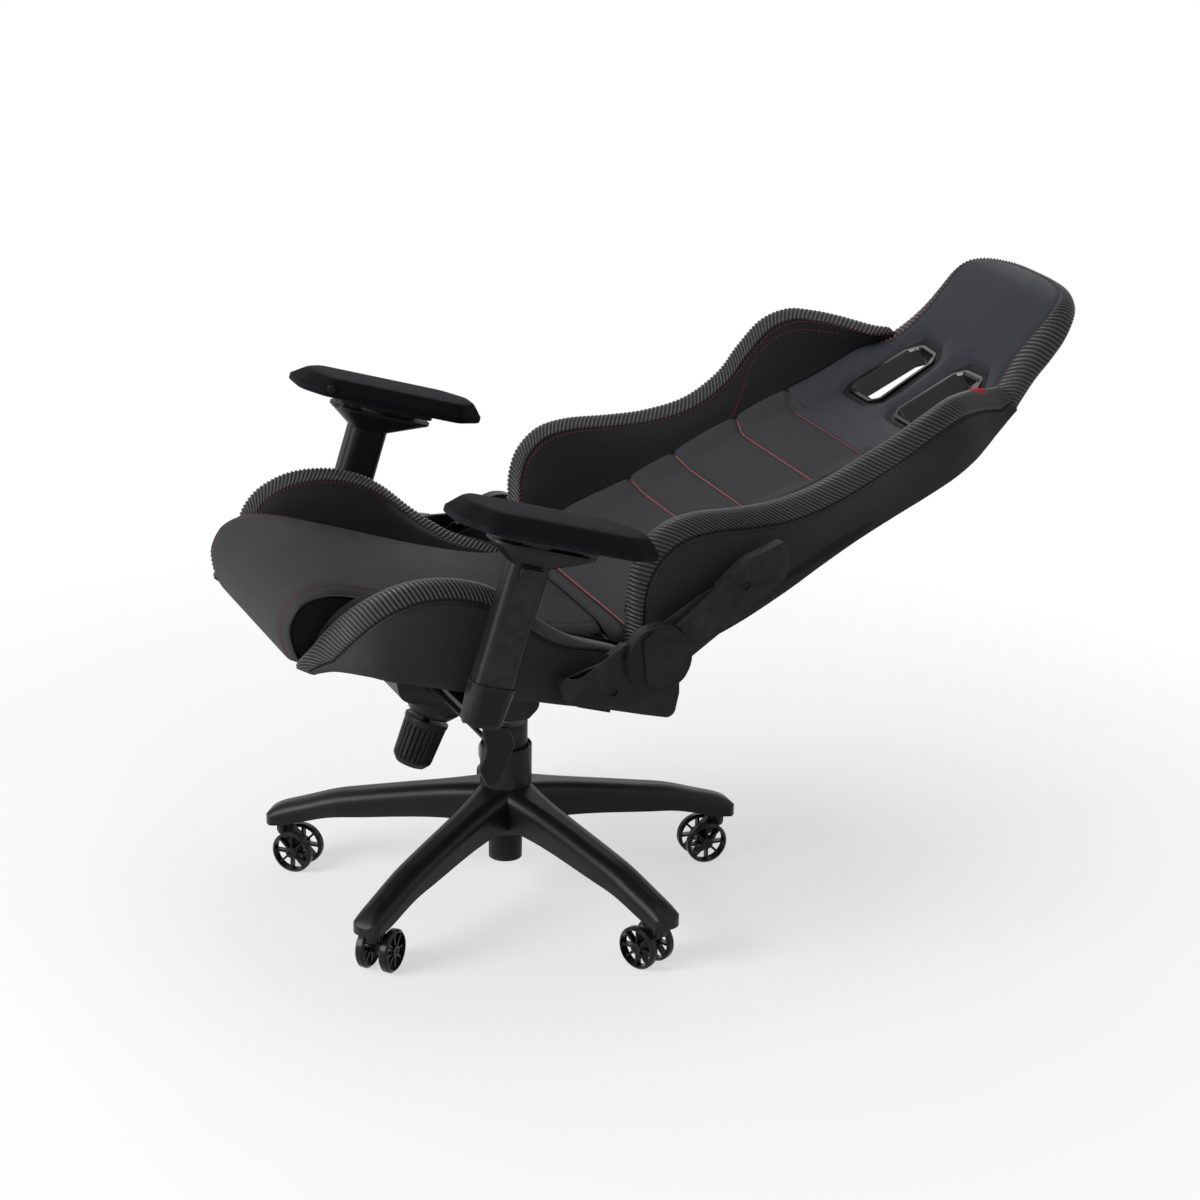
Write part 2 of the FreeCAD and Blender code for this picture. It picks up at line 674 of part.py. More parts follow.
def tilt_frame():
    """Pressed steel frame under the seat: plate, side flanges, front box and spring cup."""
    inner = HOUSING_HALF_WIDTH + FLANGE_GAP
    outer = inner + FRAME_WALL
    body = side_slab(frame_side(), -outer, outer)
    hollow = side_slab(
        [
            (BOX_FRONT + FRAME_WALL, PLATE_TOP - FRAME_WALL, 0),
            (BOX_FRONT + FRAME_WALL, BOX_FOOT + 31.0, 11),
            (BOX_FRONT + FRAME_WALL + 14.0, BOX_FOOT + FRAME_WALL, 18),
            (-78, BOX_FOOT + FRAME_WALL, 0),
            (-78, BOX_FOOT - 20.0, 0),
            (40, BOX_FOOT - 20.0, 0),
            (40, PLATE_TOP - FRAME_WALL, 0),
        ],
        -inner,
        inner,
    )
    body = body.cut(hollow)
    plate = flat_slab(
        oblong(0, (BOX_FRONT + 88.0) / 2.0, PLATE_HALF_WIDTH * 2, 88.0 - BOX_FRONT, 12),
        PLATE_TOP - FRAME_WALL,
        PLATE_TOP,
    )
    for x in (-60.0, 60.0):
        for y in (-160.0, 68.0):
            plate = plate.cut(flat_slab(oblong(x, y, 8, 20, 3.9), PLATE_TOP - 10, PLATE_TOP + 5))
    cup = raked(turned([
        (0, CUP_FOOT, 0),
        (CUP_RADIUS - 12.0, CUP_FOOT, 6),
        (CUP_RADIUS, CUP_FOOT + 14.0, 8),
        (CUP_RADIUS, BOX_FOOT + 6.0, 0),
        (0, BOX_FOOT + 6.0, 0),
    ]))
    well = raked(turned([
        (0, CUP_FOOT + 3.0, 0),
        (CUP_RADIUS - 14.0, CUP_FOOT + 3.0, 4),
        (CUP_RADIUS - 3.0, CUP_FOOT + 16.0, 6),
        (CUP_RADIUS - 3.0, BOX_FOOT + 12.0, 0),
        (0, BOX_FOOT + 12.0, 0),
    ]))
    bolt_hole = raked(Part.makeCylinder(BOLT_RADIUS + RUNNING, 30, vec(0, 0, CUP_FOOT - 10)))
    body = joined([body, plate, cup]).cut(well).cut(bolt_hole)
    shaft_hole = rod(SHAFT_RADIUS, vec(-outer - 1, PIVOT_Y, PIVOT_Z), vec(outer + 1, PIVOT_Y, PIVOT_Z))
    lever_hole = rod(9.0, vec(inner - 2, LEVER_Y, LEVER_Z), vec(outer + 2, LEVER_Y, LEVER_Z))
    return joined([body.cut(shaft_hole).cut(lever_hole)] + trunnion_ears(outer))


def fore_aft_rod(radius, half):
    """Rod along the lift lever's trunnion axis, half its length each way."""
    return rod(radius, vec(BARREL_X, LEVER_Y - half, LEVER_Z), vec(BARREL_X, LEVER_Y + half, LEVER_Z))


def trunnion_ears(start):
    """Two bored ears on the frame's flange that carry the lever's barrel."""
    bore = fore_aft_rod(TRUNNION_RADIUS + RUNNING, 40.0)
    ears = []
    for side in (-1, 1):
        near = LEVER_Y + side * (BARREL_HALF + GAP)
        far = near + side * TRUNNION_EAR
        ear = box(start - 1.0, BARREL_X + 5.0, min(near, far), max(near, far), LEVER_Z - 5.0, LEVER_Z + 5.0)
        ears.append(ear.cut(bore))
    return ears


def tilt_shaft():
    """Pivot shaft through the housing, with a head at each end."""
    outer = HOUSING_HALF_WIDTH + FLANGE_GAP + FRAME_WALL
    shaft = rod(SHAFT_RADIUS, vec(-outer, PIVOT_Y, PIVOT_Z), vec(outer, PIVOT_Y, PIVOT_Z))
    heads = [
        rod(SHAFT_RADIUS + 4.0, vec(side * outer, PIVOT_Y, PIVOT_Z),
            vec(side * (outer + 4.0), PIVOT_Y, PIVOT_Z))
        for side in (-1, 1)
    ]
    return joined([shaft] + heads)


def flute_section(radius, height):
    """Triangle that a flute takes out of the knob at one height."""
    points = [
        vec(radius - FLUTE_DEPTH, 0, height),
        vec(radius + 1.0, -FLUTE_DEPTH, height),
        vec(radius + 1.0, FLUTE_DEPTH, height),
    ]
    return Part.makePolygon(points + [points[0]])


def tension_knob():
    """Fluted knob with the bolt that loads the spring."""
    foot = KNOB_TOP - KNOB_LENGTH
    body = turned([
        (0, foot, 0),
        (KNOB_RADIUS - 10.0, foot, 3),
        (KNOB_RADIUS - 2.5, foot + 9.0, 9),
        (KNOB_RADIUS, KNOB_TOP - 7.0, 0),
        (KNOB_RADIUS + 1.0, KNOB_TOP - 5.0, 0),
        (KNOB_RADIUS + 1.0, KNOB_TOP, 1),
        (0, KNOB_TOP, 0),
    ])
    low_radius = KNOB_RADIUS - 2.5
    flute = Part.makeLoft(
        [flute_section(low_radius, foot - 1.0), flute_section(KNOB_RADIUS, KNOB_TOP - 10.0)], True, True
    )
    flutes = [about_z(flute, 360.0 / KNOB_FLUTES * i) for i in range(KNOB_FLUTES)]
    body = body.cut(Part.makeCompound(flutes))
    bolt = Part.makeCylinder(BOLT_RADIUS, 92.0, vec(0, 0, KNOB_TOP - 1.0))
    return raked(joined([body, bolt]))


def lever_bush():
    """Cross-drilled barrel on two trunnions that carries the lift lever's rod."""
    barrel = fore_aft_rod(BARREL_RADIUS, BARREL_HALF)
    trunnions = fore_aft_rod(TRUNNION_RADIUS, BARREL_HALF + GAP + TRUNNION_EAR)
    bore = rod(
        LEVER_ROD_RADIUS + RUNNING,
        vec(BARREL_X - 20, LEVER_Y, LEVER_Z),
        vec(BARREL_X + 20, LEVER_Y, LEVER_Z),
    )
    return joined([barrel, trunnions]).cut(bore)


def lift_lever():
    """Rod and drooping paddle that press the gas valve."""
    handle_x = LEVER_REACH - PADDLE_THICKNESS / 2.0
    shaft = rod(LEVER_ROD_RADIUS, vec(48, LEVER_Y, LEVER_Z), vec(handle_x, LEVER_Y, LEVER_Z))
    paddle = side_slab(
        [
            (-143, 336, 7),
            (-108, 341, 8),
            (-90, 322, 20),
            (-92, 292, 30),
            (-101, 257, 8),
            (-112, 258, 6),
            (-129, 278, 14),
            (-125, 302, 24),
        ],
        LEVER_REACH - PADDLE_THICKNESS,
        LEVER_REACH,
    )
    rims = [edge for edge in paddle.Edges if edge.BoundBox.XLength < 0.01]
    paddle = paddle.makeFillet(2.5, rims)
    return joined([shaft, paddle])


# ---- Seat ----------------------------------------------------------------------------------
def seat_frame():
    """Welded ring of square tube, cross bars, and the recliner's seat-side plates."""
    foot = PLATE_TOP + BAR_DEPTH
    outer = oblong(0, -140, FRAME_HALF_WIDTH * 2, 400, 40)
    inner = oblong(0, -140, FRAME_HALF_WIDTH * 2 - 2 * FRAME_TUBE, 400 - 2 * FRAME_TUBE, 40 - FRAME_TUBE)
    ring = flat_slab(outer, foot, foot + FRAME_TUBE).cut(
        flat_slab(inner, foot - 1, foot + FRAME_TUBE + 1)
    )
    end = FRAME_HALF_WIDTH - 2.0
    bar = [
        (-end, foot, 0),
        (-end, foot - BAR_END, 0),
        (-PLATE_HALF_WIDTH - 30, PLATE_TOP, 0),
        (PLATE_HALF_WIDTH + 30, PLATE_TOP, 0),
        (end, foot - BAR_END, 0),
        (end, foot, 0),
    ]
    bars = [front_slab(bar, y - 20, y + 20) for y in (-110.0, 40.0)]
    plates = []
    ring_top = foot + FRAME_TUBE
    for side in (-1, 1):
        plate = side_slab(
            [
                (-46, 398, 10),
                (-58, 420, 10),
                (20, 470, 10),
                (HINGE_Y - 20, HINGE_Z + 30, 20),
                (HINGE_Y + 24, HINGE_Z + 28, 22),
                (HINGE_Y + 34, HINGE_Z - 20, 20),
                (96, 404, 8),
                (20, 400, 10),
            ],
            HINGE_PLATE_X,
            HINGE_PLATE_X + HINGE_PLATE,
        )
        disc = rod(HINGE_DISC_RADIUS, vec(HINGE_PLATE_X, HINGE_Y, HINGE_Z),
                   vec(HINGE_PLATE_X + HINGE_PLATE, HINGE_Y, HINGE_Z))
        plate = joined([plate, disc])
        pin = rod(HINGE_PIN_RADIUS, vec(HINGE_PLATE_X, HINGE_Y, HINGE_Z),
                  vec(HINGE_PLATE_X + 2 * HINGE_PLATE + 2 * GAP, HINGE_Y, HINGE_Z))
        leg = box(HINGE_PLATE_X - 4.0, HINGE_PLATE_X, -24, 24, ring_top, 410)
        foot_bar = box(FRAME_HALF_WIDTH - 14, HINGE_PLATE_X, -24, 24, ring_top, ring_top + 4)
        group = joined([plate, pin, leg, foot_bar])
        if side < 0:
            group = mirrored(group)
        plates.append(group)
    return joined([ring] + bars + plates)


def seat_cushion_block():
    """Centre of the seat with its rolled front."""
    return side_slab(
        [
            (-374, 346, 8),
            (-396, 372, 30),
            (SEAT_FRONT, 404, 30),
            (-390, 446, 26),
            (-340, SEAT_TOP + 1, 60),
            (-140, SEAT_TOP - 5, 300),
            (14, SEAT_TOP - 2, 40),
            (40, 434, 16),
            (SEAT_REAR, 430, 12),
            (SEAT_REAR - 2, 392, 10),
            (20, 380, 60),
            (-300, 374, 30),
        ],
        -CENTRE_HALF_WIDTH,
        CENTRE_HALF_WIDTH,
    )


def bolster_block():
    """Raised side of the seat, on the sitter's left."""
    side = side_slab(
        [
            (-384, 374, 8),
            (-396, 384, 10),
            (-372, 418, 30),
            (-338, 470, 40),
            (-272, 516, 60),
            (-190, 524, 60),
            (-105, 482, 80),
            (-12, 455, 60),
            (30, 440, 16),
            (106, 432, 10),
            (106, 390, 8),
            (20, 386, 30),
            (-200, 380, 80),
        ],
        CENTRE_HALF_WIDTH,
        SEAT_HALF_WIDTH,
    )
    crown = front_slab(
        [
            (CENTRE_HALF_WIDTH, 340, 0),
            (SEAT_HALF_WIDTH - 4, 340, 0),
            (SEAT_HALF_WIDTH, 400, 30),
            (SEAT_HALF_WIDTH - 4, 470, 40),
            (SEAT_HALF_WIDTH - 18, 526, 14),
            (SEAT_HALF_WIDTH - 36, 526, 20),
            (CENTRE_HALF_WIDTH, 448, 0),
        ],
        -450,
        150,
    )
    plan = flat_slab(
        [
            (CENTRE_HALF_WIDTH, -402, 0),
            (CENTRE_HALF_WIDTH + 24, -398, 20),
            (SEAT_HALF_WIDTH - 12, -356, 24),
            (SEAT_HALF_WIDTH, -310, 40),
            (SEAT_HALF_WIDTH, 106, 6),
            (CENTRE_HALF_WIDTH, 106, 0),
        ],
        300,
        600,
    )
    return side.common(crown).common(plan)


def core_plan(grow):
    """Plan of the upright core inside the sleeve, grown all round by a clearance."""
    inset = POST_WALL + CORE_LINER - grow
    return oblong(POST_X, POST_Y, POST_WIDTH - 2 * inset, POST_LENGTH - 2 * inset, POST_ROUND - inset)


def bracket_tongue(inner_x, room):
    """Flat steel strip under the seat that the core stands on, grown by room."""
    foot = PLATE_TOP + BAR_DEPTH - BRACKET_THICKNESS
    half = TONGUE_WIDTH / 2.0 + room
    return box(inner_x, POST_X, POST_Y - half, POST_Y + half, foot - room, foot + BRACKET_THICKNESS + room)


def arm_post():
    """Steel bracket bolted under the seat, with the upright core that the sleeve slides on."""
    foot = PLATE_TOP + BAR_DEPTH - BRACKET_THICKNESS
    core = flat_slab(core_plan(0.0), foot, CORE_TOP)
    hollow = flat_slab(core_plan(-CORE_WALL), foot + BRACKET_THICKNESS, CORE_TOP + 1.0)
    return joined([bracket_tongue(120.0, 0.0), core]).cut(hollow)


def arm_post_cap():
    """Moulded cover over the foot of the post."""
    levels = ((CAP_FOOT, -8.0), (CAP_FOOT + 6.0, -2.0), (SLEEVE_FOOT - GAP, 4.0))
    wires = [
        outline(oblong(POST_X, POST_Y, POST_WIDTH + wider, POST_LENGTH + wider, POST_ROUND), on_xy(z))
        for z, wider in levels
    ]
    shell = Part.makeLoft(wires, True, True)
    room = flat_slab(core_plan(RUNNING), CAP_FOOT, CORE_TOP)
    return shell.cut(room).cut(bracket_tongue(POST_X - POST_WIDTH, RUNNING))


def arm_sleeve():
    """Moving sleeve with its flared carriage."""
    straight = flat_slab(
        oblong(POST_X, POST_Y, POST_WIDTH, POST_LENGTH, POST_ROUND), SLEEVE_FOOT, FLARE_FOOT
    )
    low = outline(oblong(POST_X, POST_Y, POST_WIDTH, POST_LENGTH, POST_ROUND), on_xy(FLARE_FOOT))
    high = outline(
        oblong(POST_X, POST_Y + 12, POST_WIDTH + 22, POST_LENGTH + 92, 24), on_xy(FLARE_TOP - 4)
    )
    rim = flat_slab(
        oblong(POST_X, POST_Y + 12, POST_WIDTH + 22, POST_LENGTH + 92, 24), FLARE_TOP - 4, FLARE_TOP
    )
    body = joined([straight, Part.makeLoft([low, high], True, True), rim])
    room = flat_slab(core_plan(RUNNING), SLEEVE_FOOT - 1, FLARE_TOP - 8)
    half = BUTTON_HALF + GAP
    button_room = box(
        POST_X + 5, POST_X + POST_WIDTH, POST_Y - half, POST_Y + half, BUTTON_FOOT - GAP, BUTTON_TOP + GAP
    )
    return body.cut(room).cut(button_room)


def height_button():
    """Trigger in the top of the sleeve that frees its height."""
    inner = POST_X + POST_WIDTH / 2.0 - POST_WALL - CORE_LINER + BUTTON_TRAVEL + GAP
    return side_slab(
        [
            (POST_Y - BUTTON_HALF, BUTTON_FOOT, 3),
            (POST_Y + BUTTON_HALF, BUTTON_FOOT, 3),
            (POST_Y + BUTTON_HALF, BUTTON_TOP, 3),
            (POST_Y - BUTTON_HALF, BUTTON_TOP, 3),
        ],
        inner,
        POST_X + POST_WIDTH / 2.0 + BUTTON_PROUD,
    )


def swivel_plate():
    """Round plate that lets the pad turn on the sleeve."""
    foot = FLARE_TOP + GAP
    disc = Part.makeCylinder(28.0, ARM_PLATE, vec(POST_X, POST_Y, foot))
    lugs = box(POST_X - 16, POST_X + 16, POST_Y - 38, POST_Y + 60, foot, foot + ARM_PLATE)
    return joined([disc, lugs])


def slide_plate():
    """Plate between the swivel and the pad, slotted for the two slides."""
    foot = FLARE_TOP + 2 * GAP + ARM_PLATE
    top = PAD_FOOT - GAP
    plate = flat_slab(oblong(POST_X + 2, POST_Y + 10, 60, 150, 14), foot, top)
    for y in (POST_Y - 30, POST_Y + 50):
        plate = plate.cut(flat_slab(oblong(POST_X + 2, y, 34, 9, 4.4), foot - 1, top + 1))
    return plate


def arm_pad():
    """Soft pad with a flat top and a wide bevel on its outer side and front."""
    plan = [
        (PAD_INNER_X, PAD_FRONT + 26, 20),
        (PAD_INNER_X + 22, PAD_FRONT, 24),
        (PAD_OUTER_X - 30, PAD_FRONT, 26),
        (PAD_OUTER_X, PAD_FRONT + 34, 24),
        (PAD_OUTER_X, PAD_REAR - 40, 22),
        (PAD_OUTER_X - 26, PAD_REAR, 14),
        (PAD_INNER_X + 30, PAD_REAR, 14),
        (PAD_INNER_X, PAD_REAR - 44, 24),
    ]
    body = flat_slab(plan, PAD_FOOT, PAD_TOP)
    section = [
        (PAD_INNER_X, PAD_FOOT, 0),
        (PAD_OUTER_X, PAD_FOOT, 0),
        (PAD_OUTER_X, PAD_TOP - PAD_BEVEL_DROP, 3),
        (PAD_OUTER_X - PAD_BEVEL, PAD_TOP, 8),
        (PAD_INNER_X + 5, PAD_TOP, 4),
        (PAD_INNER_X, PAD_TOP - 5, 3),
    ]
    body = body.common(front_slab(section, PAD_FRONT, PAD_REAR))
    length = [
        (PAD_FRONT, PAD_FOOT, 0),
        (PAD_FRONT, PAD_TOP - PAD_BEVEL_DROP, 3),
        (PAD_FRONT + PAD_BEVEL, PAD_TOP, 10),
        (PAD_REAR - PAD_BEVEL, PAD_TOP, 10),
        (PAD_REAR, PAD_TOP - PAD_BEVEL_DROP, 3),
        (PAD_REAR, PAD_FOOT, 0),
    ]
    return body.common(side_slab(length, PAD_INNER_X, PAD_OUTER_X))


def pad_button_centre():
    """Middle of the button on the pad's inner side."""
    return vec(PAD_INNER_X, -257.0, (PAD_FOOT + PAD_TOP) / 2.0 - 2.0)


def pad_button():
    """Button that frees the pad's slides."""
    centre = pad_button_centre()
    return rod(5.5, centre + vec(-2.0, 0, 0), centre + vec(6.0, 0, 0))


def pad_button_room():
    """Pocket for that button."""
    centre = pad_button_centre()
    return rod(5.5 + RUNNING, centre + vec(-1.0, 0, 0), centre + vec(9.0, 0, 0))


# ---- Side covers and hinge caps --------------------------------------------------------------
def hinge_disc(radius, x_low, x_high):
    """Round slab about the hinge."""
    return rod(radius, vec(x_low, HINGE_Y, HINGE_Z), vec(x_high, HINGE_Y, HINGE_Z))


def seat_cover():
    """Moulded cover over the recliner's seat side."""
    inner = HINGE_PLATE_X + HINGE_PLATE + GAP
    outer = SIDE_COVER_OUTER_X
    blade = side_slab(
        [
            (-51, 394, 10),
            (-76, 432, 8),
            (-45, 424, 20),
            (8, 486, 6),
            (HINGE_Y, HINGE_Z, 0),
            (98, 452, 4),
            (104, 434, 6),
            (107, 398, 12),
            (60, 396, 40),
        ],
        inner,
        outer,
    )
    disc = hinge_disc(COVER_DISC_RADIUS, inner, outer)
    cover = joined([blade, disc])
    plate_room = HINGE_PLATE_X + HINGE_PLATE * 2 + 3 * GAP
    room = hinge_disc(COVER_DISC_RADIUS + 5.0, inner - 1.0, plate_room)
    pocket = side_slab(
        [
            (-49, 399, 8),
            (-66, 426, 6),
            (8, 478, 6),
            (98, 448, 4),
            (103, 402, 9),
        ],
        inner - 1.0,
        outer - 3.0,
    ).common(hinge_disc(400, inner - 1.0, outer - 3.0).cut(
        hinge_disc(COVER_DISC_RADIUS + 8.0, inner - 2.0, outer)))
    screw = rod(6.0, vec(outer - 2.0, 10, 420), vec(outer + 1.0, 10, 420))
    return cover.cut(room).cut(pocket).cut(screw)


def hinge_cap():
    """Round cap over the hinge, with a raised D-shaped panel."""
    start = SIDE_COVER_OUTER_X
    face = start + CAP_THICKNESS
    disc = hinge_disc(COVER_DISC_RADIUS, start, face - 3.0)
    rims = [edge for edge in disc.Edges if abs(edge.CenterOfMass.x - face + 3.0) < 0.01]
    disc = disc.makeFillet(2.5, rims)
    panel = side_slab(
        [(HINGE_Y + y, HINGE_Z + z, radius) for y, z, radius in CAP_PANEL],
        face - 4.0,
        face,
    )
    return joined([disc, panel])


def recline_lever():
    """Lever beside the seat that frees the recliner, on the sitter's right."""
    inner = SIDE_COVER_OUTER_X + CAP_THICKNESS + GAP
    arm = side_slab(
        [
            (HINGE_Y + 6, HINGE_Z - 14, 8),
            (HINGE_Y + 14, HINGE_Z + 4, 8),
            (HINGE_Y - 4, HINGE_Z + 14, 8),
            (-52, 462, 6),
            (-100, 458, 8),
            (-106, 444, 6),
            (-50, 444, 6),
        ],
        inner,
        inner + 5.0,
    )
    grip = side_slab(
        [(-104, 443, 7), (-104, 459, 7), (-32, 465, 6), (-30, 449, 6)],
        inner - 3.0,
        inner + 12.0,
    )
    spindle = hinge_disc(SPINDLE_RADIUS, SIDE_COVER_OUTER_X + 5.0, inner + 6.0)
    return mirrored(joined([arm, grip, spindle]))


# ---- Backrest, upright, measured from the hinge ----------------------------------------------
WING_SECTIONS = [
    # height, crest's side distance, crest's depth, outer side distance
    (20, 196, -22, 214),
    (45, 222, -88, 244),
    (75, 228, -116, 258),
    (110, 228, -121, 262),
    (150, 227, -107, 262),
    (205, 225, -76, 260),
    (256, 222, -54, 256),
    (316, 218, -37, 250),
    (380, 226, -38, 252),
    (430, 250, -48, 264),
    (480, 258, -55, 270),
    (518, 250, -53, 262),
    (548, 230, -36, 244),
    (582, 192, -9, 206),
    (612, 166, 8, 178),
    (650, 148, 12, 152),
]
FRONT_LINE = [
    (-16, 12), (-15, 100), (-10, 180), (-3, 250), (8, 342), (20, 430), (31, 500),
    (35, 560), (31, 620), (8, 690), (-14, 755), (-16, 775), (-8, 797), (4, 806),
]
REAR_LINE = [
    (22, 12), (45, 85), (46, 214), (42, 281), (44, 362), (58, 479), (68, 545),
    (67, 590), (58, 630), (38, 700), (17, 762), (13, 794), (4.5, 807),
]


def middle_y(height):
    """Depth at which the front pads meet the rear shell, at a height above the hinge."""
    for (y0, z0), (y1, z1) in zip(REAR_LINE, REAR_LINE[1:]):
        if z0 <= height <= z1:
            rear = y0 + (y1 - y0) * (height - z0) / (z1 - z0)
    for (y0, z0), (y1, z1) in zip(FRONT_LINE, FRONT_LINE[1:]):
        if z0 <= height <= z1:
            front = y0 + (y1 - y0) * (height - z0) / (z1 - z0)
    return front + (rear - front) * 0.55


def back_outline():
    """Front view of the whole backrest, right half mirrored onto the left."""
    half = [
        (190, BACK_BOTTOM, 10),
        (250, 66, 40),
        (BACK_HALF_WIDTH, 110, 60),
        (BACK_HALF_WIDTH - 2, 230, 100),
        (248, 320, 90),
        (252, 385, 60),
        (270, 450, 60),
        (266, 515, 40),
        (205, 584, 60),
        (150, 652, 80),
        (141, 745, 60),
        (104, BACK_TOP, 52),
    ]
    return half + [(-x, z, r) for x, z, r in reversed(half)]


def sheet_between(front, rear):
    """A slab filling the side view between two (y, z) lines, both running upwards."""
    points = [(y, z, 0) for y, z in front] + [(y, z, 0) for y, z in reversed(rear)]
    return side_slab(points, -BACK_HALF_WIDTH - 20, BACK_HALF_WIDTH + 20)


def middle_line():
    """The (y, z) line where front pads and rear shell meet."""
    heights = [BACK_BOTTOM] + [section[0] for section in WING_SECTIONS] + [700, 755, 775, 795]
    return [(middle_y(z), z) for z in heights] + [(4.2, BACK_TOP)]


def rear_shell_block():
    """Rear upholstery over its whole width."""
    return sheet_between(middle_line(), REAR_LINE).common(front_slab(back_outline(), -200, 200))


def back_roll():
    """Round lower end of the padding, concentric with the hinge so that it clears the seat."""
    return rod(ROLL_RADIUS, vec(-ROLL_HALF_WIDTH, 0, 0), vec(ROLL_HALF_WIDTH, 0, 0))


def main_solid(shape):
    """The largest solid of a shape, without the slivers that a cut leaves."""
    return max(shape.Solids, key=lambda solid: solid.Volume)


def front_pad(low, high, half_width):
    """Front padding between two heights, inside a half width."""
    block = sheet_between(FRONT_LINE, middle_line())
    window = box(-half_width, half_width, -200, 200, low, high)
    return block.common(front_slab(back_outline(), -200, 200)).common(window)


def wing_section(height, crest_x, crest_y, outer):
    """Closed polygon across a wing at one height, round its forward crest."""
    base_y = middle_y(height)
    inner = min(BACK_CENTRE_HALF_WIDTH, crest_x - 40.0)
    root = WING_ROOT if base_y - crest_y > WING_LOW else WING_ROOT / 2.0
    points = [
        vec(inner, base_y, height),
        vec(outer, base_y, height),
        vec(outer, (base_y + crest_y) / 2.0, height),
        vec(crest_x + 12.0, crest_y + 5.0, height),
        vec(crest_x - 6.0, crest_y, height),
        vec(crest_x - 26.0, crest_y + 12.0, height),
        vec(inner, base_y - root, height),
    ]
    return Part.makePolygon(points + [points[0]])


def wing_block():
    """Side wing of the backrest, on the sitter's left."""
    wires = [wing_section(*section) for section in WING_SECTIONS]
    return Part.makeLoft(wires, True, True)


def back_tubes(extra):
    """Tube frame inside the backrest, its radius enlarged by extra."""
    radius = BACK_TUBE_RADIUS + extra
    knots = [(UPRIGHT_X, 60), (UPRIGHT_X, 430), (UPRIGHT_X - 20, 500), (122, 640), (118, 770)]
    pieces = []
    for side in (-1, 1):
        line = [vec(side * x, middle_y(z) + 2.0, z) for x, z in knots]
        for start, end in zip(line, line[1:]):
            pieces.append(rod(radius, start, end))
        for point in line[1:]:
            pieces.append(Part.makeSphere(radius, point))
    for x, z in ((UPRIGHT_X, 80), (UPRIGHT_X, 420), (118, 770)):
        depth = middle_y(z) + 2.0
        pieces.append(rod(radius, vec(-x, depth, z), vec(x, depth, z)))
    return joined(pieces)


def back_plate():
    """Recliner plate that turns with the backrest, in the hinge's own frame."""
    inner = HINGE_PLATE_X + HINGE_PLATE + GAP
    outer = inner + HINGE_PLATE
    blade = side_slab(
        [(-30, 10, 14), (30, -10, 20), (24, 60, 20), (8, 196, 8), (-28, 200, 8), (-34, 90, 30)],
        inner,
        outer,
    )
    disc = rod(HINGE_DISC_RADIUS, vec(inner, 0, 0), vec(outer, 0, 0))
    bore = rod(HINGE_PIN_RADIUS + RUNNING, vec(inner - 1, 0, 0), vec(outer + 1, 0, 0))
    return joined([blade, disc]).cut(bore)


def back_frame():
    """Tubes, cross bars and recliner plates of the backrest, one weldment."""
    inner = HINGE_PLATE_X + HINGE_PLATE + GAP
    pieces = [back_tubes(0.0)]
    for side in (-1, 1):
        plate = back_plate()
        ties = [
            box(UPRIGHT_X, inner + 1.0, middle_y(z) - 1.0, middle_y(z) + 5.0, z - 12, z + 12)
            for z in (96.0, 170.0)
        ]
        webs = [
            box(inner - 5.0, inner + 1.0, -24, middle_y(z) + 5.0, z - 12, z + 12)
            for z in (96.0, 170.0)
        ]
        group = joined([plate] + ties + webs)
        pieces.append(mirrored(group) if side < 0 else group)
    return joined(pieces)


def back_cover():
    """Moulded cover over the recliner's backrest side, in the hinge's own frame."""
    inner = HINGE_PLATE_X + 1.0
    outer = SIDE_COVER_OUTER_X - 1.0
    blade = side_slab(
        [
            (-18, 30, 4),
            (-30, 98, 20),
            (-45, 165, 30),
            (-37, 226, 8),
            (-4, 216, 10),
            (10, 200, 8),
            (24, 84, 20),
            (30, 30, 4),
        ],
        inner,
        outer,
    )
    hub = rod(COVER_DISC_RADIUS + 1.5, vec(inner - 1, 0, 0), vec(outer + 1, 0, 0))
    plate_room = side_slab(
        [(-30, 10, 0), (30, -10, 0), (25, 60, 0), (9, 197, 0), (-29, 201, 0), (-35, 90, 0)],
        inner - 1.0,
        HINGE_PLATE_X + 2 * HINGE_PLATE + GAP,
    )
    hollow = side_slab(
        [(-27, 98, 14), (-40, 165, 24), (-33, 220, 6), (-5, 211, 8), (7, 198, 6), (20, 84, 14), (22, 60, 4)],
        inner - 1.0,
        outer - 3.0,
    )
    screw = rod(6.0, vec(outer - 2.0, -14, 150), vec(outer + 1.0, -14, 150))
    return blade.cut(hub).cut(plate_room).cut(hollow).cut(screw)


def slot_corners(grow):
    """Outline of one strap cut-out, enlarged by grow."""
    return [
        (25 - grow, 522, 6),
        (40, 508 - grow, 8),
        (102, 508 - grow, 8),
        (114 + grow, 522, 8),
        (107 + grow, 612, 8),
        (88, 634 + grow, 10),
        (46, 632 + grow, 10),
        (30 - grow, 616, 8),
    ]


def slot_prism(grow):
    """Both strap cut-outs as solids through the backrest."""
    one = front_slab(slot_corners(grow), -100, 150)
    return one.fuse(mirrored(one))


def cutout_bezels():
    """The two moulded frames that line the strap cut-outs, chamfered at the front."""
    ring = front_slab(slot_corners(-RUNNING), BEZEL_FRONT, BEZEL_REAR)
    mouth = Part.makeLoft(
        [
            outline(slot_corners(BEZEL_CHAMFER - BEZEL_WALL), on_xz(BEZEL_FRONT)),
            outline(slot_corners(-BEZEL_WALL), on_xz(BEZEL_FRONT + BEZEL_CHAMFER)),
        ],
        True, True,
    )
    ring = ring.cut(front_slab(slot_corners(-BEZEL_WALL), BEZEL_FRONT - 1, BEZEL_REAR + 1)).cut(mouth)
    return Part.makeCompound([ring, mirrored(ring)])


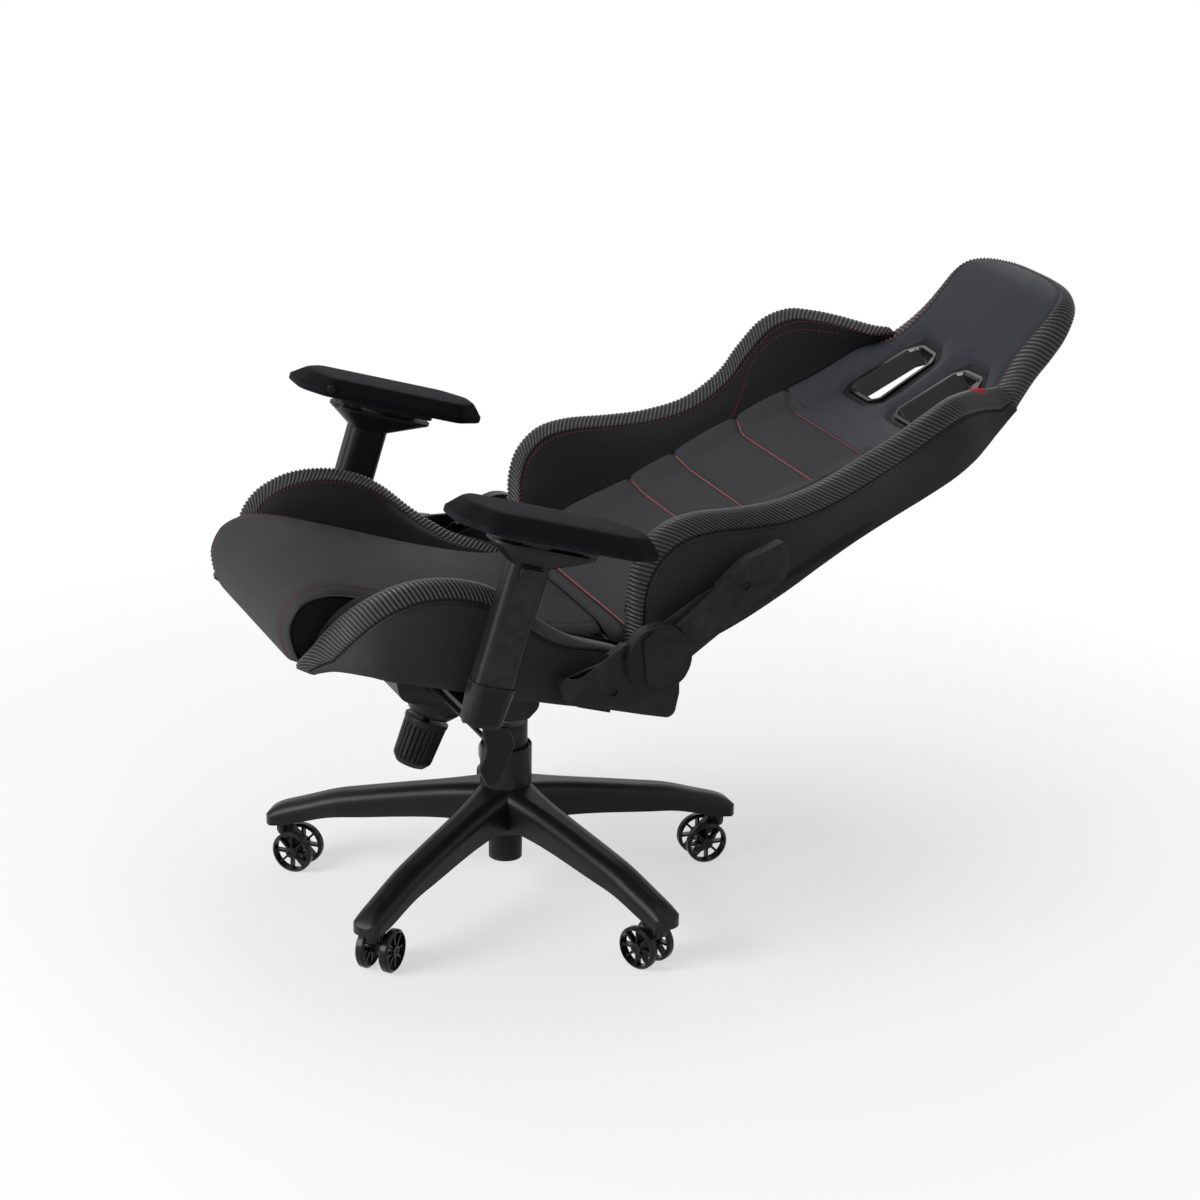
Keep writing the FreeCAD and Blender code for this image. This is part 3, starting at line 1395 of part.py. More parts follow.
def main():
    """Builds every piece and writes one STEP file for each."""
    nodes = {}
    nodes["star_base"] = star_base()
    nodes["gas_lift_tube"] = gas_lift_tube()
    nodes["gas_lift_bush"] = gas_lift_bush()
    nodes["lower_sleeve"] = cover_sleeve(0, HUB_TOP)
    nodes["middle_sleeve"] = cover_sleeve(1, HUB_TOP + 4.0)
    nodes["upper_sleeve"] = upper_sleeve()
    nodes["piston_rod"] = piston_rod()
    nodes["thrust_bearing"] = thrust_bearing()
    nodes["gas_cylinder"] = gas_cylinder()
    nodes["tilt_housing"] = tilt_housing()
    fork = caster_fork()
    wheels = caster_wheels()
    for i in range(ARM_COUNT):
        nodes[f"caster_{i + 1}_fork"] = set_caster(fork, i)
        nodes[f"caster_{i + 1}_wheels"] = set_caster(wheels, i)

    nodes["tilt_frame"] = rocked(tilt_frame())
    nodes["tilt_shaft"] = rocked(tilt_shaft())
    nodes["tension_knob"] = rocked(tension_knob())
    nodes["lever_bush"] = rocked(lever_bush())
    nodes["lift_lever"] = rocked(lift_lever())

    frame = seat_frame()
    nodes["seat_frame"] = rocked(frame)
    nodes["seat_cushion"] = rocked(seat_cushion_block().cut(frame))
    bolster = bolster_block().cut(frame)
    nodes["seat_bolster_left"] = rocked(bolster)
    nodes["seat_bolster_right"] = rocked(mirrored(bolster))

    pad = arm_pad().cut(pad_button_room())
    paired = {
        "arm_post": arm_post(),
        "arm_post_cap": arm_post_cap(),
        "arm_sleeve": arm_sleeve(),
        "height_button": height_button(),
        "swivel_plate": swivel_plate(),
        "slide_plate": slide_plate(),
        "arm_pad": pad,
        "pad_button": pad_button(),
        "seat_cover": seat_cover(),
    }
    for name, shape in paired.items():
        nodes[f"{name}_left"] = rocked(shape)
        nodes[f"{name}_right"] = rocked(mirrored(shape))
    cap = hinge_cap()
    spindle_hole = hinge_disc(SPINDLE_RADIUS + RUNNING, SIDE_COVER_OUTER_X + 4.0, POST_X)
    nodes["hinge_caps"] = rocked(Part.makeCompound([cap, mirrored(cap.cut(spindle_hole))]))
    nodes["recline_lever"] = rocked(recline_lever())

    tubes = back_frame()
    slots = slot_prism(0.0)
    nodes["back_frame"] = reclined(tubes)
    roll = back_roll()
    nodes["back_shell"] = reclined(main_solid(rear_shell_block().cut(slots).cut(tubes).cut(roll)))
    both_wings = wing_block().fuse(mirrored(wing_block()))
    centre = joined([front_pad(BACK_BOTTOM, CENTRE_TOP, BACK_CENTRE_HALF_WIDTH), roll])
    nodes["back_cushion"] = reclined(main_solid(centre.cut(tubes).cut(both_wings)))
    head = front_pad(CENTRE_TOP, BACK_TOP, 400).cut(slots).cut(tubes).cut(both_wings)
    nodes["head_panel"] = reclined(main_solid(head))
    wing = wing_block().cut(tubes)
    nodes["back_wing_left"] = reclined(wing)
    nodes["back_wing_right"] = reclined(mirrored(wing))
    nodes["cutout_bezels"] = reclined(cutout_bezels())
    cover = back_cover().cut(tubes)
    nodes["back_cover_left"] = reclined(cover)
    nodes["back_cover_right"] = reclined(mirrored(cover))

    os.makedirs("parts", exist_ok=True)
    for name, shape in nodes.items():
        shape.exportStep(os.path.join("parts", name + ".step"))
        print(name, len(shape.Solids), "solids", round(shape.Volume / 1000.0, 1), "cm3",
              "" if shape.isValid() else "INVALID")
    print(len(nodes), "nodes")


main()
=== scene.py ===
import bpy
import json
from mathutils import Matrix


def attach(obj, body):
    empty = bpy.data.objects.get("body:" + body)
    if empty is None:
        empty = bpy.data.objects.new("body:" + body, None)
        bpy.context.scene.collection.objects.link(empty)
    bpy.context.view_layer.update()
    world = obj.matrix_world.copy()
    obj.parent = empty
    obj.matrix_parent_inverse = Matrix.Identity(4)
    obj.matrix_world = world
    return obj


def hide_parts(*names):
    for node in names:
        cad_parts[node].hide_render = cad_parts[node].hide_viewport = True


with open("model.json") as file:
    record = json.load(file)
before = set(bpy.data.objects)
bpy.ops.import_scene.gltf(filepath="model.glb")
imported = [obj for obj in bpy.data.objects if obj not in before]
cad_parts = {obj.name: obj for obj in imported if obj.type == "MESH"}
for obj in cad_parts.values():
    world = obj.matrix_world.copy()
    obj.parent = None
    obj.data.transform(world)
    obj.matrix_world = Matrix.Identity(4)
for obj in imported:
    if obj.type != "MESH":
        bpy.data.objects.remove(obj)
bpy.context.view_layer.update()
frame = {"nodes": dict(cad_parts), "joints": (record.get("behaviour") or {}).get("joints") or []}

# Visual model of a reclining bucket-seat chair on a star base. Metres; -Y is the front,
# +X the sitter's left, +Z up. Upholstery is built in two leaning frames, the seat's and the
# backrest's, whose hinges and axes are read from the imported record.

import json
import logging
import math
from dataclasses import dataclass, field
from enum import Enum
from typing import Sequence

import bmesh
import bpy
import numpy as np
from mathutils import Matrix, Vector
from mathutils.kdtree import KDTree

log = logging.getLogger("chair")

MM = 0.001
FAR = 1e9              # further than anything drawn
TINY = 1e-9            # lengths below this are nothing
JOIN = 1e-6            # vertices this close are one, in metres
SWELL_FRAMES = 20      # length of the cloth simulation
STITCH_SIDES = 5
STITCH_PROFILE = ((0.0, 0.35), (0.2, 1.0), (0.8, 1.0), (1.0, 0.35))  # share along, thickness
EDGE_BREAK_ANGLE = math.radians(35.0)
FILM_WIDTH = 36.0      # of the camera, in millimetres
Array = np.ndarray
Triple = tuple[float, float, float]


class Side(Enum):
    """Which side of the sitter a piece is on."""

    LEFT = 1
    RIGHT = -1

    @property
    def word(self) -> str:
        """The side as it is written in names."""
        return self.name.lower()


# ---- Frames ----
def joint(name: str) -> dict:
    """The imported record's joint of that name.

    Args:
        name: the joint's name.
    Returns:
        the joint as a dict.
    """
    return next(j for j in frame["joints"] if j["name"] == name)


@dataclass(frozen=True)
class Leaning:
    """A frame leaned back about a sideways axis, in which upholstery is drawn in millimetres."""

    pivot: Triple
    level_pivot: Triple
    angle: float

    def matrix(self) -> Matrix:
        """Takes drawn millimetres to metres in the object's frame.

        Returns:
            the transform.
        """
        drawn = Matrix.Translation(Vector(self.level_pivot) * -1.0)
        turn = Matrix.Rotation(-self.angle, 4, "X")
        return Matrix.Translation(Vector(self.pivot)) @ turn @ Matrix.Scale(MM, 4) @ drawn

    def place(self, points: Array) -> Array:
        """Drawn points, in millimetres, as metres in the object's frame.

        Args:
            points: an array whose last axis is x, y, z.
        Returns:
            an array of the same shape.
        """
        m = np.array(self.matrix())
        return points @ m[:3, :3].T + m[:3, 3]


ROCK = math.atan2(joint("arm_height_left")["axis"][1], joint("arm_height_left")["axis"][2])
BACK_LAID = math.radians(45.0)
SEAT = Leaning(tuple(joint("seat_tilt")["pos_m"]), (0.0, -45.0, 325.0), ROCK)
BACK = Leaning(tuple(joint("back_recline")["pos_m"]), (0.0, 0.0, 0.0), ROCK + BACK_LAID)


# ---- Curves and surfaces ----
def between(a: Array, b: Array, c: Array, d: Array, f: Array) -> Array:
    """Catmull-Rom value from b to c.

    Args:
        a: control point before b.
        b: control point at f = 0.
        c: control point at f = 1.
        d: control point after c.
        f: share of the way from b to c.
    Returns:
        the values there.
    """
    return 0.5 * (
        2 * b + (c - a) * f + (2 * a - 5 * b + 4 * c - d) * f**2 + (3 * b - a - 3 * c + d) * f**3
    )


def spline(points: Sequence[Sequence[float]] | Array, count: int) -> Array:
    """Samples a smooth curve through control points, evenly in their numbering.

    Args:
        points: control points, any number of values each.
        count: how many samples to take.
    Returns:
        an array of count rows.
    """
    p = np.array(points, float)
    padded = np.vstack([2 * p[0] - p[1], p, 2 * p[-1] - p[-2]])
    t = np.linspace(0.0, len(p) - 1.000001, count)
    i = np.floor(t).astype(int)
    f = (t - i)[:, None]
    return between(padded[i], padded[i + 1], padded[i + 2], padded[i + 3], f)


def even(points: Sequence[Sequence[float]] | Array, count: int, dense: int = 900) -> Array:
    """A smooth curve through control points, sampled evenly along its length.

    Args:
        points: control points.
        count: how many samples to take.
        dense: how finely its length is measured.
    Returns:
        an array of count rows.
    """
    fine = spline(points, dense)
    along = np.concatenate([[0.0], np.cumsum(np.linalg.norm(np.diff(fine[:, :3], axis=0), axis=1))])
    where = np.linspace(0.0, along[-1], count)
    return np.stack([np.interp(where, along, fine[:, k]) for k in range(fine.shape[1])], axis=1)


def lookup(line: Sequence[tuple[float, float]], at: Array | float) -> Array:
    """Smoothed value of a (value, height) line at given heights.

    Args:
        line: value and height pairs, heights rising.
        at: heights to read it at.
    Returns:
        the values there.
    """
    fine = spline(line, 400)
    return np.interp(at, fine[:, 1], fine[:, 0])


def smooth(x: Array, low: float, high: float) -> Array:
    """Rises smoothly from 0 at low to 1 at high."""
    t = np.clip((x - low) / (high - low), 0.0, 1.0)
    return t * t * (3 - 2 * t)


def crowded(count: int, power: float) -> Array:
    """Places from -1 to 1, closer together towards both ends.

    Args:
        count: how many places.
        power: how strongly they crowd.
    Returns:
        the places.
    """
    turn = np.linspace(-1.0, 1.0, count)
    return np.sign(turn) * (1.0 - (1.0 - np.abs(turn)) ** power)


def segment_distance(flat: Array, starts: Array, ends: Array) -> Array:
    """Distance of points in a plane from the nearest of some segments.

    Args:
        flat: point rows.
        starts: the segments' first ends.
        ends: their other ends.
    Returns:
        one distance per point.
    """
    best = np.full(len(flat), FAR)
    for start, end in zip(starts, ends):
        run = end - start
        size = run @ run
        if size < TINY:
            continue
        t = np.clip(((flat - start) @ run) / size, 0.0, 1.0)
        best = np.minimum(best, np.linalg.norm(flat - (start + t[:, None] * run), axis=1))
    return best


def notch(x: Array, centre: Array | float, width: float) -> Array:
    """A bell of height 1 about a centre."""
    return np.exp(-(((x - centre) / width) ** 2))


def new_object(name: str, verts: Array, faces: list) -> bpy.types.Object:
    """A mesh object linked to the scene.

    Args:
        name: the piece's name.
        verts: vertex rows, in metres.
        faces: tuples of vertex numbers.
    Returns:
        the object.
    """
    mesh = bpy.data.meshes.new(name)
    mesh.from_pydata([tuple(v) for v in verts], [], faces)
    mesh.validate()
    mesh.update()
    mesh.polygons.foreach_set("use_smooth", [True] * len(mesh.polygons))
    thing = bpy.data.objects.new(name, mesh)
    bpy.context.scene.collection.objects.link(thing)
    return thing


def outward(thing: bpy.types.Object) -> bpy.types.Object:
    """Turns a closed mesh's faces to look out.

    Args:
        thing: the piece.
    Returns:
        the piece.
    """
    work = bmesh.new()
    work.from_mesh(thing.data)
    bmesh.ops.remove_doubles(work, verts=work.verts, dist=JOIN)
    bmesh.ops.recalc_face_normals(work, faces=work.faces)
    work.to_mesh(thing.data)
    work.free()
    thing.data.update()
    return thing


def grid_faces(rows: int, columns: int, ring: bool) -> list[tuple[int, ...]]:
    """Quads of a grid of vertices numbered row by row.

    Args:
        rows: vertex rows.
        columns: vertex columns.
        ring: join the last column to the first.
    Returns:
        the faces.
    """
    wide = columns if ring else columns - 1
    return [
        (
            r * columns + c,
            r * columns + (c + 1) % columns,
            (r + 1) * columns + (c + 1) % columns,
            (r + 1) * columns + c,
        )
        for r in range(rows - 1)
        for c in range(wide)
    ]


def marked(thing: bpy.types.Object, name: str, values: Array) -> bpy.types.Object:
    """Writes a value per vertex that a material can read.

    Args:
        thing: the piece.
        name: the value's name.
        values: one number per vertex.
    Returns:
        the piece.
    """
    layer = thing.data.attributes.new(name, "FLOAT", "POINT")
    layer.data.foreach_set("value", np.ascontiguousarray(values, dtype=np.float32).ravel())
    return thing


def ringed(name: str, grid: Array, **marks: Array) -> bpy.types.Object:
    """A closed skin through rings of points, its two end rings filled.

    Args:
        name: the piece's name.
        grid: rings x points x 3, in metres.
        marks: values per point that a material can read, by name.
    Returns:
        the object.
    """
    rows, columns, _ = grid.shape
    faces = grid_faces(rows, columns, True)
    faces.append(tuple(range(columns))[::-1])
    faces.append(tuple((rows - 1) * columns + c for c in range(columns)))
    thing = new_object(name, grid.reshape(-1, 3), faces)
    for mark, values in marks.items():
        marked(thing, mark, values)
    return outward(thing)


def applied(thing: bpy.types.Object) -> bpy.types.Object:
    """Makes a piece's modifiers part of its mesh.

    Args:
        thing: the piece.
    Returns:
        the piece.
    """
    shown = bpy.context.evaluated_depsgraph_get()
    mesh = bpy.data.meshes.new_from_object(thing.evaluated_get(shown), depsgraph=shown)
    thing.modifiers.clear()
    thing.data = mesh
    return thing


def corners_of(mesh: bpy.types.Mesh) -> Array:
    """A mesh's vertices as an array.

    Args:
        mesh: the mesh.
    Returns:
        one row per vertex, in metres.
    """
    flat = np.empty(len(mesh.vertices) * 3)
    mesh.vertices.foreach_get("co", flat)
    return flat.reshape(-1, 3)


def nearest_tree(points: Array) -> KDTree:
    """A search tree over points.

    Args:
        points: point rows.
    Returns:
        the tree.
    """
    tree = KDTree(len(points))
    for number, point in enumerate(points):
        tree.insert(point, number)
    tree.balance()
    return tree


def swollen(bag: bpy.types.Object, held: bpy.types.VertexGroup, pressure: float) -> Array:
    """How far each point of a mesh moves as cloth under pressure.

    Args:
        bag: the mesh.
        held: its points that are sewn down.
        pressure: the filling's pressure.
    Returns:
        a move per point, in metres.
    """
    start = corners_of(bag.data)
    cloth = bag.modifiers.new("cloth", "CLOTH")
    cloth.settings.quality = 5
    cloth.settings.use_pressure = True
    cloth.settings.uniform_pressure_force = pressure
    cloth.settings.effector_weights.gravity = 0.0
    cloth.settings.vertex_group_mass = held.name
    cloth.settings.bending_stiffness = 2.0
    cloth.point_cache.frame_start, cloth.point_cache.frame_end = 1, SWELL_FRAMES
    scene = bpy.context.scene
    for number in range(1, SWELL_FRAMES + 1):
        scene.frame_set(number)
    shown = bag.evaluated_get(bpy.context.evaluated_depsgraph_get()).to_mesh()
    move = corners_of(shown) - start
    scene.frame_set(1)
    return move


def inflated(
    thing: bpy.types.Object, cap: float, pressure: float = 4.0, voxel: float = 6.0
) -> bpy.types.Object:
    """Swells a padded piece as cloth under pressure, held where its "loose" value is 0.

    Args:
        thing: the piece, whose "loose" value per vertex runs from 0, sewn down, to 1.
        cap: how far a point may move, in millimetres.
        pressure: the filling's pressure.
        voxel: cell of the even mesh that swells, in millimetres.
    Returns:
        the piece, with the swelling in its mesh.
    """
    loose = np.empty(len(thing.data.vertices), np.float32)
    thing.data.attributes["loose"].data.foreach_get("value", loose)
    rest = corners_of(thing.data)
    bag = bpy.data.objects.new("bag", thing.data.copy())
    bpy.context.scene.collection.objects.link(bag)
    even_mesh = bag.modifiers.new("even", "REMESH")
    even_mesh.mode = "VOXEL"
    even_mesh.voxel_size = voxel * MM
    applied(bag)
    start = corners_of(bag.data)
    tree = nearest_tree(rest)
    held = bag.vertex_groups.new(name="held")
    for number, point in enumerate(start):
        held.add([number], 1.0 - float(loose[tree.find(point)[1]]), "REPLACE")
    move = swollen(bag, held, pressure)
    far = np.linalg.norm(move, axis=1)[:, None] + 1e-12
    move *= np.minimum(1.0, cap * MM / far)
    tree = nearest_tree(start)
    for number, point in enumerate(rest):
        if loose[number] <= 0.0:
            continue
        close = tree.find_n(point, 6)
        share = np.array([1.0 / (distance + voxel * MM * 0.3) for _, _, distance in close])
        swell = (move[[index for _, index, _ in close]] * share[:, None]).sum(axis=0) / share.sum()
        rest[number] += swell * loose[number]
    thing.data.vertices.foreach_set("co", rest.ravel())
    thing.data.update()
    mesh = bag.data
    bpy.data.objects.remove(bag)
    bpy.data.meshes.remove(mesh)
    finer = thing.modifiers.new("finer", "SUBSURF")
    finer.levels = finer.render_levels = 1
    log.info("%s swollen, at most %.1f mm", thing.name, min(cap, float(far.max()) / MM))
    return thing


def tube(name: str, path: Array, radius: float, sides: int = 8) -> bpy.types.Object:
    """A round cord along a path, in metres.

    Args:
        name: the piece's name.
        path: points of its centreline.
        radius: its radius.
        sides: points round it.
    Returns:
        the object.
    """
    ahead = np.roll(path, -1, axis=0) - np.roll(path, 1, axis=0)
    ahead[0], ahead[-1] = path[1] - path[0], path[-1] - path[-2]
    ahead /= np.linalg.norm(ahead, axis=1)[:, None]
    guide = np.array([1.0, 0.0, 0.0]) if abs(ahead[0][0]) < 0.8 else np.array([0.0, 0.0, 1.0])
    rings = []
    for centre, along in zip(path, ahead):
        across = guide - along * (guide @ along)
        across /= np.linalg.norm(across)
        guide = across
        up = np.cross(along, across)
        turn = np.linspace(0, 2 * math.pi, sides, endpoint=False)
        rings.append(centre + radius * (np.outer(np.cos(turn), across) + np.outer(np.sin(turn), up)))
    return ringed(name, np.array(rings))


def stitched(
    name: str, path: Array, pitch: float = 6.4, length: float = 3.4, radius: float = 0.5
) -> bpy.types.Object:
    """A row of separate stitches lying along a path; sizes in millimetres.

    Args:
        name: the piece's name.
        path: points of the seam, in metres.
        pitch: from one stitch to the next.
        length: one stitch's length.
        radius: the thread's radius.
    Returns:
        the object.
    """
    steps = np.linalg.norm(np.diff(path, axis=0), axis=1)
    along = np.concatenate([[0.0], np.cumsum(steps)])
    starts = np.arange(pitch * MM / 2, along[-1] - length * MM, pitch * MM)
    verts, faces = [], []
    for start in starts:
        ends = [
            np.array([np.interp(where, along, path[:, k]) for k in range(3)])
            for where in (start, start + length * MM)
        ]
        ahead = ends[1] - ends[0]
        size = np.linalg.norm(ahead)
        if size < JOIN:
            continue
        ahead /= size
        guide = np.array([0.3, 0.2, 1.0]) if abs(ahead[2]) < 0.8 else np.array([1.0, 0.2, 0.3])
        across = np.cross(ahead, guide)
        across /= np.linalg.norm(across)
        up = np.cross(ahead, across)
        first = len(verts)
        for where, thick in STITCH_PROFILE:
            centre = ends[0] + ahead * size * where
            for k in range(STITCH_SIDES):
                turn = 2 * math.pi * k / STITCH_SIDES
                verts.append(centre + radius * MM * thick * (math.cos(turn) * across + math.sin(turn) * up))
        last = first + (len(STITCH_PROFILE) - 1) * STITCH_SIDES
        for ring in range(first, last, STITCH_SIDES):
            for k in range(STITCH_SIDES):
                a, b = ring + k, ring + (k + 1) % STITCH_SIDES
                faces.append((a, b, b + STITCH_SIDES, a + STITCH_SIDES))
        faces.append(tuple(first + k for k in range(STITCH_SIDES))[::-1])
        faces.append(tuple(last + k for k in range(STITCH_SIDES)))
    return outward(new_object(name, np.array(verts), faces))


# ---- Finishes ----
class Shader:
    """A material under construction: one Principled shader and the nodes that feed it."""

    def __init__(self, name: str) -> None:
        """Starts an empty material.

        Args:
            name: the material's name.
        """
        self.material = bpy.data.materials.new(name)
        self.material.use_nodes = True
        self.tree = self.material.node_tree
        self.tree.nodes.clear()
        self.output = self.tree.nodes.new("ShaderNodeOutputMaterial")
        self.surface = self.tree.nodes.new("ShaderNodeBsdfPrincipled")
        self.link(self.surface.outputs["BSDF"], self.output.inputs["Surface"])
        self.place = self.tree.nodes.new("ShaderNodeTexCoord").outputs["Object"]

    def link(self, start: bpy.types.NodeSocket, end: bpy.types.NodeSocket) -> None:
        """Joins two sockets."""
        self.tree.links.new(start, end)

    def node(self, kind: str, **values: object) -> bpy.types.Node:
        """A new node with attributes, or inputs where the key names one.

        Args:
            kind: the node's type.
            values: attribute or input values; an underscore in an input's name is a space.
        Returns:
            the node.
        """
        made = self.tree.nodes.new(kind)
        for key, value in values.items():
            if hasattr(made, key):
                setattr(made, key, value)
            else:
                made.inputs[key.replace("_", " ")].default_value = value
        return made

    def noise(self, scale: float, detail: float = 3.0, roughness: float = 0.55) -> bpy.types.NodeSocket:
        """A noise value over the piece.

        Args:
            scale: cells per metre.
            detail: layers of finer noise.
            roughness: strength of the finer layers.
        Returns:
            the value's socket.
        """
        made = self.node("ShaderNodeTexNoise", Scale=scale, Detail=detail, Roughness=roughness)
        self.link(self.place, made.inputs["Vector"])
        return made.outputs["Fac"]

    def cells(self, scale: float) -> bpy.types.NodeSocket:
        """A Voronoi pattern's distance from its cell walls over the piece.

        Args:
            scale: cells per metre.
        Returns:
            the value's socket.
        """
        made = self.node("ShaderNodeTexVoronoi", feature="DISTANCE_TO_EDGE")
        made.inputs["Scale"].default_value = scale
        self.link(self.place, made.inputs["Vector"])
        return made.outputs["Distance"]

    def spread(
        self, value: bpy.types.NodeSocket, low: float, high: float, lo: float = 0.3, hi: float = 0.7
    ) -> bpy.types.NodeSocket:
        """A value from lo..hi mapped onto low..high.

        Args:
            value: the value.
            low: what lo becomes.
            high: what hi becomes.
            lo: the value's lower end.
            hi: its upper end.
        Returns:
            the mapped value's socket.
        """
        made = self.node("ShaderNodeMapRange")
        self.link(value, made.inputs["Value"])
        for key, number in (("From Min", lo), ("From Max", hi), ("To Min", low), ("To Max", high)):
            made.inputs[key].default_value = number
        return made.outputs["Result"]

    def blend(self, amount: bpy.types.NodeSocket, one: Triple, other: Triple) -> bpy.types.NodeSocket:
        """A colour between two, by amount.

        Args:
            amount: 0 for the first colour, 1 for the other.
            one: the first colour.
            other: the other colour.
        Returns:
            the colour's socket.
        """
        made = self.node("ShaderNodeMix", data_type="RGBA")
        self.link(amount, made.inputs["Factor"])
        made.inputs[6].default_value = (*one, 1.0)
        made.inputs[7].default_value = (*other, 1.0)
        return made.outputs[2]

    def bump(
        self, height: bpy.types.NodeSocket, depth: float, below: bpy.types.NodeSocket | None = None
    ) -> bpy.types.NodeSocket:
        """A normal roughened by a height value.

        Args:
            height: the height value.
            depth: how deep it goes, in millimetres.
            below: a coarser normal that it lies on.
        Returns:
            the normal's socket.
        """
        made = self.node("ShaderNodeBump")
        made.inputs["Strength"].default_value = 1.0
        made.inputs["Distance"].default_value = depth * MM
        self.link(height, made.inputs["Height"])
        if below is not None:
            self.link(below, made.inputs["Normal"])
        return made.outputs["Normal"]

    def wear(self) -> bpy.types.NodeSocket:
        """A value that rises on outer edges, broken up by noise; it places scuffing and a painted highlight
        along edges.

        Returns:
            the value's socket.
        """
        edge = self.node("ShaderNodeNewGeometry").outputs["Pointiness"]
        rise = self.spread(edge, 0.0, 1.0, 0.52, 0.62)
        made = self.node("ShaderNodeMath", operation="MULTIPLY", use_clamp=True)
        self.link(rise, made.inputs[0])
        self.link(self.spread(self.noise(60.0), 0.2, 1.0), made.inputs[1])
        return made.outputs[0]

    def colour(self, socket: bpy.types.NodeSocket) -> None:
        """Feeds the base colour."""
        self.link(socket, self.surface.inputs["Base Color"])

    def rough(self, socket: bpy.types.NodeSocket) -> None:
        """Feeds the roughness."""
        self.link(socket, self.surface.inputs["Roughness"])

    def normal(self, socket: bpy.types.NodeSocket) -> None:
        """Feeds the normal."""
        self.link(socket, self.surface.inputs["Normal"])

    def constant(self, **values: float) -> None:
        """Sets the Principled shader's own sockets.

        Args:
            values: the numbers; an underscore in a socket's name is a space.
        """
        for key, value in values.items():
            self.surface.inputs[key.replace("_", " ")].default_value = value


@dataclass(frozen=True)
class Hide:
    """Leatherette: pebbled grain over a slightly mottled colour."""

    name: str
    colour: Triple
    roughness: float
    grain: float = 900.0
    depth: float = 0.10
    specular: float = 0.45

    def material(self) -> bpy.types.Material:
        """Makes the finish's nodes.

        Returns:
            the material.
        """
        s = Shader(self.name)
        darker = tuple(c * 0.92 for c in self.colour)
        s.colour(s.blend(s.spread(s.noise(14.0, 4.0), 0.0, 1.0), darker, self.colour))
        s.rough(s.spread(s.noise(30.0, 5.0), self.roughness - 0.02, self.roughness + 0.03))
        creases = s.bump(s.noise(38.0, 4.0, 0.5), self.depth * 0.7)
        s.normal(s.bump(s.cells(self.grain), self.depth, creases))
        s.constant(Specular_IOR_Level=self.specular)
        return s.material


@dataclass(frozen=True)
class Ribbed:
    """Embossed leatherette of the edge bands, with painted shade between its ribs and a painted highlight
    on their crests.
    """

    name: str
    colour: Triple
    roughness: float
    grain: float = 1200.0

    def material(self) -> bpy.types.Material:
        """Makes the finish's nodes.

        Returns:
            the material.
        """
        s = Shader(self.name)
        rib = s.node("ShaderNodeAttribute", attribute_name="rib").outputs["Fac"]
        # Painted shade and highlight: grooves and seams get a near-black colour and crests a lighter one,
        # following the rib value.
        groove, crest = (tuple(c * share for c in self.colour) for share in (0.06, 1.4))
        s.colour(s.blend(rib, groove, crest))
        s.rough(s.spread(rib, self.roughness + 0.35, self.roughness, 0.2, 0.8))
        s.normal(s.bump(s.noise(self.grain, 2.0), 0.05))
        s.constant(Specular_IOR_Level=0.32)
        return s.material


@dataclass(frozen=True)
class Moulding:
    """Moulded plastic or rubber with a spark-eroded texture, and edges lightened partly by scuffing and
    partly as a painted highlight.
    """

    name: str
    colour: Triple
    roughness: float
    texture: float = 1400.0
    depth: float = 0.06
    # how much lighter the edges get, from scuffing and from a painted highlight
    edge: float = 1.6
    coat: float = 0.0
    specular: float = 0.13

    def material(self) -> bpy.types.Material:
        """Makes the finish's nodes.

        Returns:
            the material.
        """
        s = Shader(self.name)
        # Outer edges get a lighter colour: partly scuffing, partly a painted highlight standing in for the
        # glints along edges.
        worn_and_highlit = tuple(min(1.0, c * self.edge + 0.01) for c in self.colour)
        s.colour(s.blend(s.wear(), self.colour, worn_and_highlit))
        s.rough(s.spread(s.noise(25.0, 5.0), self.roughness - 0.015, self.roughness + 0.02))
        s.normal(s.bump(s.noise(self.texture, 2.0), self.depth))
        s.constant(Specular_IOR_Level=self.specular, Coat_Weight=self.coat, Coat_Roughness=0.1)
        return s.material


@dataclass(frozen=True)
class Coating:
    """Powder coating: orange-peel skin over metal, its edges lighter from scuffing and from a painted
    highlight.
    """

    name: str
    colour: Triple
    roughness: float
    peel: float = 420.0

    def material(self) -> bpy.types.Material:
        """Makes the finish's nodes.

        Returns:
            the material.
        """
        s = Shader(self.name)
        # Edges get a lighter colour: partly scuffing, partly a painted highlight.
        rubbed_and_highlit = tuple(c * 2.2 + 0.01 for c in self.colour)
        s.colour(s.blend(s.wear(), self.colour, rubbed_and_highlit))
        s.rough(s.spread(s.noise(18.0, 6.0), self.roughness - 0.015, self.roughness + 0.02))
        s.normal(s.bump(s.noise(self.peel, 3.0), 0.05, s.bump(s.noise(1800.0, 1.0), 0.03)))
        s.constant(Specular_IOR_Level=0.16)
        return s.material


@dataclass(frozen=True)
class Steel:
    """Bare ground steel with fine lines."""

    name: str
    colour: Triple
    roughness: float

    def material(self) -> bpy.types.Material:
        """Makes the finish's nodes.

        Returns:
            the material.
        """
        s = Shader(self.name)
        drawn = s.node("ShaderNodeMapping")
        drawn.inputs["Scale"].default_value = (40.0, 40.0, 1200.0)
        s.link(s.place, drawn.inputs["Vector"])
        lines = s.node("ShaderNodeTexNoise", Scale=1.0, Detail=2.0)
        s.link(drawn.outputs["Vector"], lines.inputs["Vector"])
        s.colour(s.blend(lines.outputs["Fac"], tuple(c * 0.8 for c in self.colour), self.colour))
        s.rough(s.spread(lines.outputs["Fac"], self.roughness - 0.05, self.roughness + 0.1))
        s.normal(s.bump(lines.outputs["Fac"], 0.02))
        s.constant(Metallic=1.0)
        return s.material


